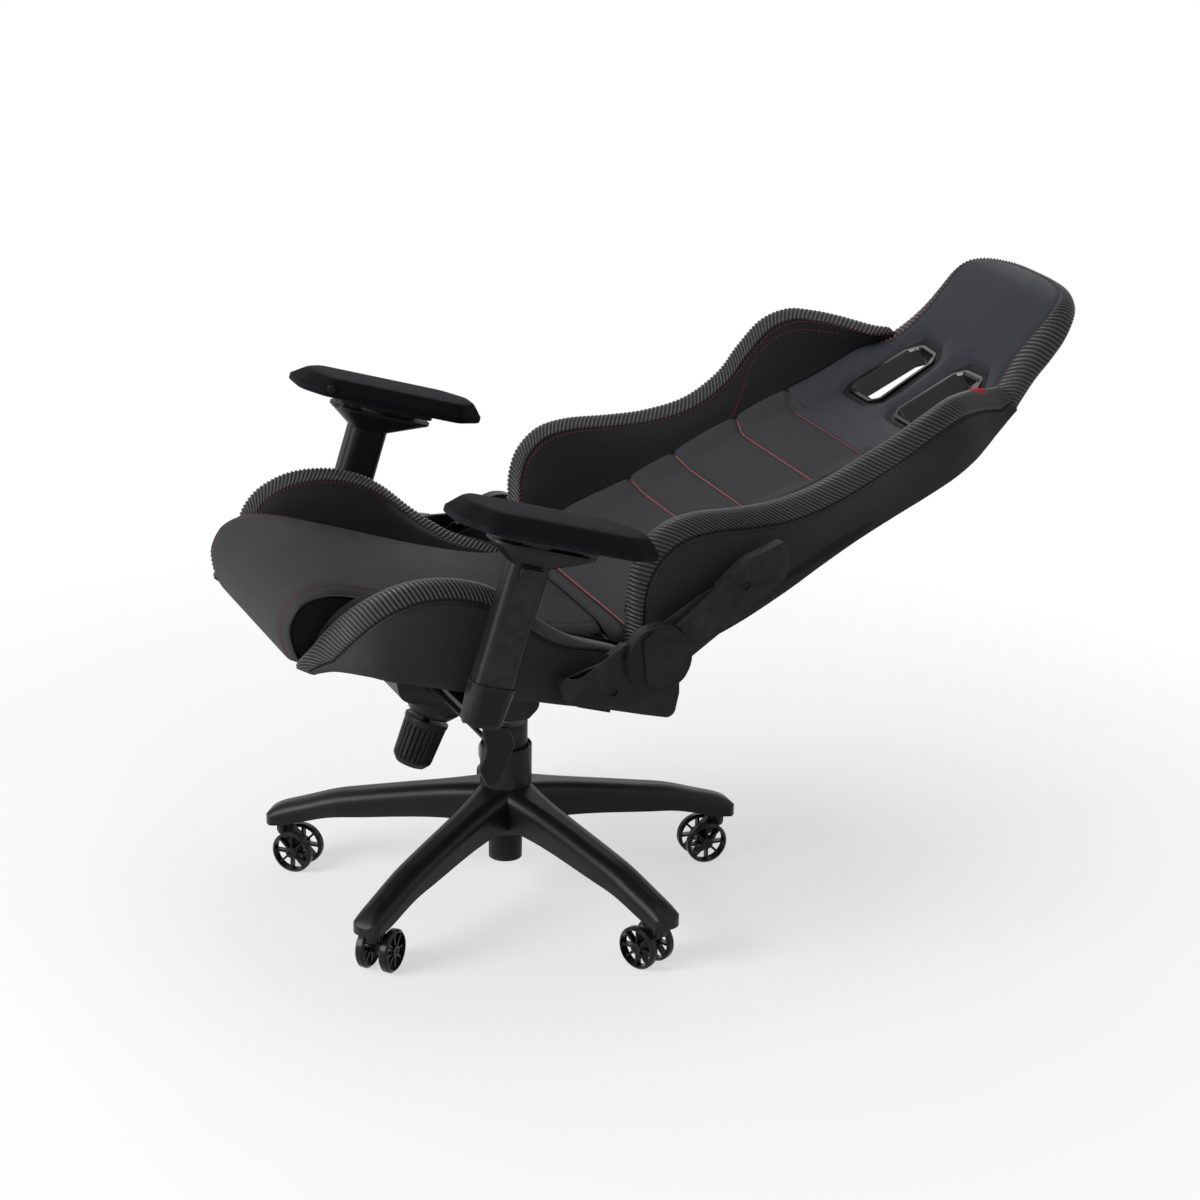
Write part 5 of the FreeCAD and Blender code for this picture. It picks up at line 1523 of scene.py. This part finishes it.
@dataclass
class HeadPanel:
    """The backrest's upper panel with two strap cut-outs and a ribbed band round its edge."""

    foot: float = 423.0
    top: float = 806.0
    seam_insets: tuple[float, float] = (34.0, 11.0)
    dimple: float = 3.5
    recess: float = 5.0
    collar_width: float = 11.0
    collar_steps: tuple[tuple[float, float], ...] = (
        # distance from the cut-out, rise over the panel
        (0.3, -2.0), (0.3, 0.6), (1.0, 1.3), (2.5, 1.5), (8.0, 1.5), (10.0, 0.9), (12.5, -2.0),
    )
    cutout: tuple[tuple[float, float], ...] = (
        (25, 522), (40, 508), (102, 508), (114, 522), (107, 612), (88, 634), (46, 632), (30, 616),
    )

    def cutout_distance(self, x: Array, z: Array) -> Array:
        """Distance from the nearer cut-out's rim.

        Args:
            x: side distances.
            z: heights above the hinge.
        Returns:
            the distances, below 0 inside a cut-out.
        """
        flat = np.stack([np.abs(x).ravel(), z.ravel()], axis=1)
        corners = np.array(self.cutout, float)
        following = np.roll(corners, -1, axis=0)
        best = segment_distance(flat, corners, following)
        inside = np.zeros(len(flat), bool)
        for start, end in zip(corners, following):
            run = end - start
            spans = (start[1] > flat[:, 1]) != (end[1] > flat[:, 1])
            if abs(run[1]) > TINY:
                inside ^= spans & (flat[:, 0] < run[0] * (flat[:, 1] - start[1]) / run[1] + start[0])
        return np.where(inside, -best, best).reshape(x.shape)

    def inset(self, z: Array) -> Array:
        """Distance of the stitched seam from the rim, narrow over the top."""
        wide, narrow = self.seam_insets
        return wide + (narrow - wide) * smooth(z, 630.0, 796.0)

    def depth(self, x: Array, z: Array) -> Array:
        """Depth of the front at points of the front view.

        Args:
            x: the points' side distances.
            z: their heights above the hinge.
        Returns:
            the depths.
        """
        front, middle = front_depth(z), middle_depth(z)
        y = front - 3.0 * (1.0 - (x / 150.0) ** 2) * smooth(z, 640.0, 700.0)
        near = self.cutout_distance(x, z)
        y = y + self.dimple * (1.0 - smooth(near, 8.0, 34.0)) - side_rise(x, z)
        y = y + self.recess * (1.0 - smooth(near, self.collar_width - 2.0, self.collar_width + 3.0))
        distance = edge_distance(x, z)
        upper = smooth(z, 560.0, 610.0)
        inset = self.inset(z)
        seam = 2.0 * notch(distance, inset, 2.6) * upper
        return y + (middle - y) * rolled(distance, np.maximum(inset + 2.0, 17.0)) * upper + seam * upper

    def prism(self, side: Side) -> bpy.types.Object:
        """A solid through one cut-out, to cut the upholstery with.

        Args:
            side: which cut-out.
        Returns:
            the solid.
        """
        corners = [(side.value * x, z) for x, z in self.cutout]
        verts = np.array([(x, y, z) for y in (-90.0, 160.0) for x, z in corners])
        count = len(corners)
        faces = [tuple(range(count))[::-1], tuple(range(count, 2 * count))]
        faces += [(i, (i + 1) % count, (i + 1) % count + count, i + count) for i in range(count)]
        return outward(new_object(f"cutout_{side.word}", BACK.place(verts), faces))

    def pierce(self, thing: bpy.types.Object) -> None:
        """Cuts both cut-outs through a piece.

        Args:
            thing: the piece.
        """
        for side in Side:
            cutter = self.prism(side)
            step = thing.modifiers.new("cutout", "BOOLEAN")
            step.operation = "DIFFERENCE"
            step.solver = "EXACT"
            step.object = cutter
            applied(thing)
            bpy.data.objects.remove(cutter)

    def line_walls(self, thing: bpy.types.Object, slot: int = 1) -> None:
        """Gives the cut-outs' walls in a pierced piece another of its finishes.

        Args:
            thing: the piece.
            slot: which of its finishes.
        """
        marks = np.array([(0.0, 0.0, 500.0), (0.0, 0.0, 645.0), (0.0, -1.0, 500.0)])
        low, high, ahead = BACK.place(marks)
        up, front = high - low, (ahead - low) / np.linalg.norm(ahead - low)
        for polygon in thing.data.polygons:
            centre, normal = np.array(polygon.center), np.array(polygon.normal)
            share = (centre - low) @ up / (up @ up)
            if 0.0 < share < 1.0 and abs(centre[0]) < 0.117 and abs(normal @ front) < 0.12:
                polygon.material_index = slot

    def build(self) -> list[bpy.types.Object]:
        """Makes the panel, its band and its stitching.

        Returns:
            the pieces made.
        """
        rows = np.concatenate([np.linspace(self.foot, 760.0, 110), np.linspace(762.0, self.top - 0.4, 26)])
        free = 400.0 * smooth(rows, 585.0, 650.0)
        half = np.minimum(edge_half_width(rows), root_half_width(rows) + 3.0 + free)
        x = crowded(95, 1.4)[None, :] * (half[:, None] - 0.6)
        z = rows[:, None] + kink(x, self.foot) * (1.0 - smooth(rows, self.foot, 480.0))[:, None]
        front = np.stack([x, self.depth(x, z), z], axis=2)
        rear = np.stack([x, middle_depth(z) + 1.0, z], axis=2)[:, ::-1]
        panel = ringed("head_panel_cover", BACK.place(np.concatenate([front, rear], axis=1)))
        self.pierce(panel)
        dress(panel, Finish.HEAD_HIDE, Finish.COLLAR)
        self.line_walls(panel)
        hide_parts("head_panel")
        made = [seated(panel, "back"), self.band(), *map(self.collar, Side)]
        rim = self.rim(420)
        inner = rim[:, :2] + rim[:, 2:] * (self.inset(rim[:, 1:2]) - 2.6)
        path = np.column_stack([inner[:, 0], self.depth(inner[:, 0], inner[:, 1]) - 0.4, inner[:, 1]])
        thread = stitched("head_stitching", BACK.place(path))
        made.append(seated(dress(thread, Finish.RED_THREAD), "back"))
        return made

    def around_cutout(self, distance: float, steps: int = 6) -> Array:
        """The left cut-out's outline set out by a distance, its corners rounded.

        Args:
            distance: how far out.
            steps: points at each corner.
        Returns:
            rows of x and z.
        """
        corners = np.array(self.cutout, float)
        ahead = np.roll(corners, -1, axis=0) - corners
        out = np.stack([ahead[:, 1], -ahead[:, 0]], axis=1)
        out /= np.linalg.norm(out, axis=1)[:, None]
        points = []
        for corner, before, after in zip(corners, np.roll(out, 1, axis=0), out):
            for share in np.linspace(0.0, 1.0, steps):
                towards = before * (1.0 - share) + after * share
                points.append(corner + towards / np.linalg.norm(towards) * distance)
        return np.array(points)

    def collar(self, side: Side) -> bpy.types.Object:
        """The recessed collar round one cut-out.

        Args:
            side: which cut-out.
        Returns:
            the collar.
        """
        rings = []
        for distance, lift in self.collar_steps:
            plan = self.around_cutout(distance)
            near = self.around_cutout(min(distance, self.collar_width - 3.0))
            level = self.depth(near[:, 0], near[:, 1])
            rings.append(np.column_stack([plan[:, 0] * side.value, level - lift, plan[:, 1]]))
        rings.append(rings[-1] + (0.0, 4.0, 0.0))
        rings.append(rings[0] + (0.0, 4.0, 0.0))
        rings.append(rings[0])
        grid = BACK.place(np.array(rings))
        faces = grid_faces(grid.shape[0], grid.shape[1], True)
        ring = outward(new_object(f"slot_collar_{side.word}", grid.reshape(-1, 3), faces))
        return seated(dress(ring, Finish.COLLAR), "back")

    def rim(self, count: int) -> Array:
        """The panel's free edge from one side over the top to the other.

        Args:
            count: how many points.
        Returns:
            count x 4: the point's x and z, and the inward direction's x and z.
        """
        half = [(float(edge_half_width(BAND_FOOT)), BAND_FOOT)]
        half += [(x, z) for x, z in EDGE_LINE if z > BAND_FOOT]
        loop = half + [(-x, z) for x, z in reversed(half[:-1])]
        line = even([(x, z, 0.0) for x, z in loop], count)[:, :2]
        run = np.gradient(line, axis=0)
        run /= np.linalg.norm(run, axis=1)[:, None]
        return np.column_stack([line, -run[:, 1], run[:, 0]])

    def band(self) -> bpy.types.Object:
        """The ribbed band round the panel's edge.

        Returns:
            the band.
        """
        rim = self.rim(420)
        shares = np.array([1.0, 0.9, 0.78, 0.64, 0.5, 0.36, 0.24, 0.14, 0.06, 0.01])
        insets = self.inset(rim[:, 1:2]) * shares
        x = rim[:, :1] + rim[:, 2:3] * insets
        z = rim[:, 1:2] + rim[:, 3:] * insets
        edge = np.stack([x, self.depth(x, z), z], axis=2)
        last = edge[:, -1]
        rear = np.maximum(rear_depth(rim[:, 1]) - 4.0, last[:, 1] + 3.0)
        drops = np.linspace(0.0, 1.0, 9)[None, 1:]
        side_y = last[:, 1:2] + (rear - last[:, 1])[:, None] * drops
        across, up = (np.repeat(rim[:, k:k + 1], drops.size, 1) for k in (0, 1))
        sides = np.stack([across, side_y, up], axis=2)
        strip = np.concatenate([edge, sides], axis=1)
        band = Ribs().band("head_band", strip, BACK, np.ones(3))
        return seated(dress(band, Finish.BAND), "back")


@dataclass
class RearCover:
    """The backrest's rear upholstery, one sewn cover with a seam down each side."""

    edge_radius: float = 22.0
    seam: float = 34.0

    def build(self, head: HeadPanel) -> list[bpy.types.Object]:
        """Makes the cover, with a groove along each side seam.

        Args:
            head: the head panel, whose cut-outs go through the cover too.
        Returns:
            the pieces made.
        """
        rows = np.concatenate([np.linspace(14.0, 770.0, 170), np.linspace(772.0, 806.0, 16)])
        half = edge_half_width(rows) - 2.0
        x = crowded(91, 1.4)[None, :] * half[:, None]
        z = np.broadcast_to(rows[:, None], x.shape)
        distance = edge_distance(x, z)
        rear, middle = rear_depth(z), middle_depth(z)
        puff = 5.0 * smooth(distance, self.seam, self.seam + 60.0) * smooth(z, 20.0, 90.0)
        y = rear + (middle - rear) * rolled(distance, self.edge_radius) - 4.0 + puff
        y = y - 2.0 * notch(distance, self.seam, 3.0)
        back = np.stack([x, y, z], axis=2)
        front = np.stack([x, middle, z], axis=2)[:, ::-1]
        cover = ringed("back_rear_cover", BACK.place(np.concatenate([back, front], axis=1)))
        head.pierce(cover)
        dress(cover, Finish.SHELL_HIDE, Finish.COLLAR)
        head.line_walls(cover)
        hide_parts("back_shell")
        return [seated(cover, "back")]


@dataclass
class ArmPad:
    """Moulded armrest pad: flat top, wide bevel outside and in front."""

    inner_x: float = 264.0
    outer_x: float = 368.0
    front: float = -296.0
    rear: float = -10.0
    foot: float = 613.0
    levels: tuple[tuple[float, float], ...] = (
        # height, share of the bevel taken
        (613.0, 0.22), (613.7, 0.08), (615.2, 0.0), (621.6, 0.0), (622.6, 0.02), (623.4, 0.07),
        (626.8, 0.26), (630.4, 0.46), (633.8, 0.65), (636.6, 0.82), (638.2, 0.93), (638.9, 1.0),
    )
    crown: tuple[tuple[float, float], ...] = (
        # share of the way in to the spine, rise
        (0.05, 0.45), (0.12, 0.85), (0.22, 1.15), (0.36, 1.35), (0.55, 1.45), (0.78, 1.5), (0.97, 1.5),
    )

    def outline(self, share: float) -> Array:
        """The pad's plan at one level.

        Args:
            share: share of the bevel taken; the outer side and front have the widest bevel.
        Returns:
            points round the plan.
        """
        out, back, inside = 19.0 * share, 16.0 * share, 6.0 * share
        corners = (
            (self.inner_x + inside, self.front + 30 + back * 0.6, 20.0),
            (self.inner_x + 22 + inside * 0.6, self.front + out, 20.0),
            (self.outer_x - 30 - out * 0.7, self.front + out, 22.0),
            (self.outer_x - out, self.front + 36 + out * 0.6, 22.0),
            (self.outer_x - out, self.rear - 40 - back * 0.6, 22.0),
            (self.outer_x - 26 - out * 0.6, self.rear - back, 14.0),
            (self.inner_x + 30 + inside * 0.4, self.rear - back, 14.0),
            (self.inner_x + inside, self.rear - 44 - back * 0.4, 22.0),
        )
        points = []
        count = len(corners)
        for i, (x, y, radius) in enumerate(corners):
            here = np.array([x, y])
            before = np.array(corners[i - 1][:2]) - here
            after = np.array(corners[(i + 1) % count][:2]) - here
            start = here + before / np.linalg.norm(before) * radius * 0.5
            end = here + after / np.linalg.norm(after) * radius * 0.5
            for t in np.linspace(0.0, 1.0, 9):
                points.append((1 - t) ** 2 * start + 2 * t * (1 - t) * here + t * t * end)
        return np.array(points)

    def build(self, side: Side) -> list[bpy.types.Object]:
        """Makes the pad on one side.

        Args:
            side: which side of the sitter.
        Returns:
            the pieces made.
        """
        rings = []
        for z, share in self.levels:
            plan = self.outline(share)
            rings.append(np.column_stack([plan, np.full(len(plan), z)]))
        top = rings[-1]
        along = np.clip(top[:, 1], self.front + 62.0, self.rear - 62.0)
        spine = np.column_stack([np.full(len(top), self.inner_x + 46.0), along, top[:, 2]])
        for share, rise in self.crown:
            rings.append(top * (1.0 - share) + spine * share + (0.0, 0.0, rise))
        rings = np.array(rings) * (side.value, 1.0, 1.0)
        pad = ringed(f"arm_pad_skin_{side.word}", SEAT.place(rings))
        dress(pad, Finish.PAD)
        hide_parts(f"arm_pad_{side.word}")
        return [seated(pad, f"arm_pad_{side.word}")]


# ---- Finishes of the carried-over parts ----
NODE_FINISHES = {
    "star_base": Finish.METAL, "tilt_frame": Finish.METAL, "tilt_housing": Finish.METAL,
    "seat_frame": Finish.FRAME, "back_frame": Finish.FRAME, "tilt_shaft": Finish.METAL,
    "arm_post": Finish.METAL, "arm_sleeve": Finish.METAL, "arm_post_cap": Finish.PLASTIC,
    "swivel_plate": Finish.PLASTIC, "slide_plate": Finish.PLASTIC, "height_button": Finish.PLASTIC,
    "pad_button": Finish.PLASTIC, "seat_cover": Finish.PLASTIC, "back_cover": Finish.PLASTIC,
    "hinge_caps": Finish.PLASTIC, "recline_lever": Finish.PLASTIC, "lift_lever": Finish.PLASTIC,
    "lever_bush": Finish.PLASTIC, "tension_knob": Finish.PLASTIC, "cutout_bezels": Finish.GLOSS,
    "lower_sleeve": Finish.PLASTIC, "middle_sleeve": Finish.PLASTIC, "upper_sleeve": Finish.PLASTIC,
    "gas_lift_tube": Finish.FRAME, "gas_lift_bush": Finish.POLYMER, "gas_cylinder": Finish.STEEL,
    "piston_rod": Finish.STEEL, "thrust_bearing": Finish.STEEL,
}
EDGE_BREAKS = {
    "star_base": 3.0, "tilt_frame": 1.2, "tilt_housing": 1.5, "arm_post": 1.2, "arm_sleeve": 0.8,
    "arm_post_cap": 1.0, "hinge_caps": 0.8, "seat_cover": 0.8, "back_cover": 0.8, "lift_lever": 0.8,
    "recline_lever": 0.8, "swivel_plate": 0.8, "slide_plate": 0.8, "cutout_bezels": 0.8,
}


def sideless(name: str) -> str:
    """A part's name without its side."""
    return name.removesuffix("_left").removesuffix("_right")


def dress_parts(nodes: dict[str, bpy.types.Object], hidden: set[str]) -> None:
    """Gives every carried-over part its finish and breaks its sharp edges.

    Args:
        nodes: the parts by name.
        hidden: parts that an upholstered piece stands for.
    """
    for name, thing in nodes.items():
        if name in hidden:
            continue
        finish = Finish.WHEEL if name.startswith("caster") else NODE_FINISHES[sideless(name)]
        dress(thing, finish)
        width = EDGE_BREAKS.get(sideless(name))
        if width:
            step = thing.modifiers.new("edge_break", "BEVEL")
            step.width = width * MM
            step.segments = 3
            step.limit_method = "ANGLE"
            step.angle_limit = EDGE_BREAK_ANGLE
        log.info("%s wears %s", name, finish.name.lower())


# ---- Stage ----
def looked_at(
    nodes: bpy.types.Nodes, links: bpy.types.NodeLinks, path: bpy.types.Node
) -> bpy.types.NodeSocket:
    """1 for rays that show a surface: the camera's, and those that gloss and glass send on.

    Args:
        nodes: the material's or world's nodes.
        links: its links.
        path: its Light Path node.
    Returns:
        the value's socket.
    """
    total = path.outputs["Is Camera Ray"]
    for kind in ("Is Glossy Ray", "Is Transmission Ray"):
        add = nodes.new("ShaderNodeMath")
        add.operation = "ADD"
        add.use_clamp = True
        links.new(total, add.inputs[0])
        links.new(path.outputs[kind], add.inputs[1])
        total = add.outputs[0]
    return total


@dataclass
class Studio:
    """Pale floor, white surroundings, soft lamps and the camera."""

    camera_at: Triple = (4.0211, -1.5773, 2.0068)
    right: Triple = (0.3873, 0.9218, 0.0149)
    up: Triple = (-0.3210, 0.1197, 0.9395)
    back: Triple = (0.8642, -0.3687, 0.3423)
    lens: float = 101.1
    floor_size: float = 30.0
    floor_fade: dict[str, float] = field(default_factory=lambda: {
        # metres from the chair's axis to share of white
        "From Min": 0.5, "From Max": 1.5, "To Min": 0.6, "To Max": 1.0,
    })

    def build(self) -> None:
        """Makes the stage."""
        self.floor()
        self.surroundings()
        self.lamps()
        self.camera()

    def floor(self) -> None:
        """Makes the pale floor, which fades to white away from the chair."""
        half = self.floor_size / 2
        corners = np.array([(-half, -half, 0), (half, -half, 0), (half, half, 0), (-half, half, 0)], float)
        floor = new_object("floor", corners, [(0, 1, 2, 3)])
        material = bpy.data.materials.new("pale_floor")
        material.use_nodes = True
        nodes, links = material.node_tree.nodes, material.node_tree.links
        shader, output = nodes["Principled BSDF"], nodes["Material Output"]
        shader.inputs["Base Color"].default_value = (0.93, 0.93, 0.93, 1.0)
        shader.inputs["Roughness"].default_value = 0.8
        place, length, fade, seen, path, white, mix = (nodes.new(f"ShaderNode{kind}") for kind in (
            "NewGeometry", "VectorMath", "MapRange", "Math", "LightPath", "Emission", "MixShader"
        ))
        length.operation = "LENGTH"
        seen.operation = "MULTIPLY"
        seen.use_clamp = True
        for key, value in self.floor_fade.items():
            fade.inputs[key].default_value = value
        white.inputs["Color"].default_value = (1.0, 1.0, 1.0, 1.0)
        white.inputs["Strength"].default_value = 1.0
        links.new(place.outputs["Position"], length.inputs[0])
        links.new(length.outputs["Value"], fade.inputs["Value"])
        links.new(fade.outputs["Result"], seen.inputs[0])
        links.new(looked_at(nodes, links, path), seen.inputs[1])
        links.new(seen.outputs[0], mix.inputs[0])
        links.new(shader.outputs[0], mix.inputs[1])
        links.new(white.outputs[0], mix.inputs[2])
        links.new(mix.outputs[0], output.inputs["Surface"])
        floor.data.materials.append(material)

    def surroundings(self) -> None:
        """Makes the world white where it is looked at, softer where it lights the chair."""
        world = bpy.context.scene.world or bpy.data.worlds.new("surroundings")
        bpy.context.scene.world = world
        world.use_nodes = True
        nodes, links = world.node_tree.nodes, world.node_tree.links
        nodes.clear()
        output = nodes.new("ShaderNodeOutputWorld")
        lit, seen = nodes.new("ShaderNodeBackground"), nodes.new("ShaderNodeBackground")
        lit.inputs["Color"].default_value = (0.86, 0.87, 0.90, 1.0)
        lit.inputs["Strength"].default_value = 0.20
        seen.inputs["Color"].default_value = (1.0, 1.0, 1.0, 1.0)
        seen.inputs["Strength"].default_value = 1.0
        path, mix = nodes.new("ShaderNodeLightPath"), nodes.new("ShaderNodeMixShader")
        links.new(looked_at(nodes, links, path), mix.inputs[0])
        links.new(lit.outputs[0], mix.inputs[1])
        links.new(seen.outputs[0], mix.inputs[2])
        links.new(mix.outputs[0], output.inputs[0])

    def lamps(self) -> None:
        """Makes large soft lamps: the key in front, weaker ones behind and overhead."""
        # name, place, aim, size, power
        table = (
            ("key", (0.6, -3.6, 2.0), (0.0, -0.1, 0.7), 2.0, 150.0),
            ("fill", (2.6, 3.2, 2.4), (0.0, 0.0, 0.6), 2.4, 8.0),
            ("top", (-0.4, 0.4, 3.6), (0.0, 0.0, 0.6), 2.0, 32.0),
            ("rim", (-2.8, 1.6, 2.2), (0.0, 0.1, 0.8), 1.8, 8.0),
        )
        for name, place, aim, size, power in table:
            lamp = bpy.data.lights.new(name, "AREA")
            lamp.shape = "SQUARE"
            lamp.size = size
            lamp.energy = power
            thing = bpy.data.objects.new(name, lamp)
            bpy.context.scene.collection.objects.link(thing)
            thing.location = place
            towards = Vector(aim) - Vector(place)
            thing.rotation_euler = towards.to_track_quat("-Z", "Y").to_euler()

    def camera(self) -> None:
        """Makes the camera, looking down on the chair from its left."""
        lens = bpy.data.cameras.new("camera")
        lens.lens = self.lens
        lens.sensor_width = FILM_WIDTH
        thing = bpy.data.objects.new("camera", lens)
        bpy.context.scene.collection.objects.link(thing)
        turn = Matrix((self.right, self.up, self.back)).transposed().to_4x4()
        thing.matrix_world = Matrix.Translation(self.camera_at) @ turn
        bpy.context.scene.camera = thing


def chair() -> None:
    """Makes every upholstered piece and gives the other parts their finishes."""
    wing = RimmedPad(
        "wing", "back_wing", "back", BACK, wing_stations(),
        panel_seam=(
            (345, 0.08), (375, 0.75), (405, 1.35), (435, 1.62), (480, 1.62), (525, 1.45), (560, 1.15),
        ),
    )
    bolster = RimmedPad(
        "bolster", "seat_bolster", "seat", SEAT, bolster_stations(), inner_puff=6.0, outer_puff=5.0,
        outer_band=(
            (0.0, 33.0, 0.0), (0.25, 31.0, 0.0), (0.45, 25.0, 0.0), (0.75, 21.0, 3.0), (0.88, 18.0, 9.0),
            (1.0, 18.0, 9.0),
        ),
    )
    head = HeadPanel()
    for side in Side:
        wing.build(side)
        bolster.build(side)
        ArmPad().build(side)
    wing.tab(572.0, 592.0)
    SeatCentre().build()
    BackCentre().build()
    head.build()
    RearCover().build(head)
    hidden = {f"{name}_{side.word}" for side in Side for name in ("back_wing", "seat_bolster", "arm_pad")}
    hidden |= {"seat_cushion", "back_cushion", "head_panel", "back_shell"}
    dress_parts(frame["nodes"], hidden)


def main() -> None:
    """Builds the chair and its stage."""
    bpy.context.scene.view_settings.view_transform = "Standard"
    chair()
    Studio().build()


if __name__ == "__main__":
    main()
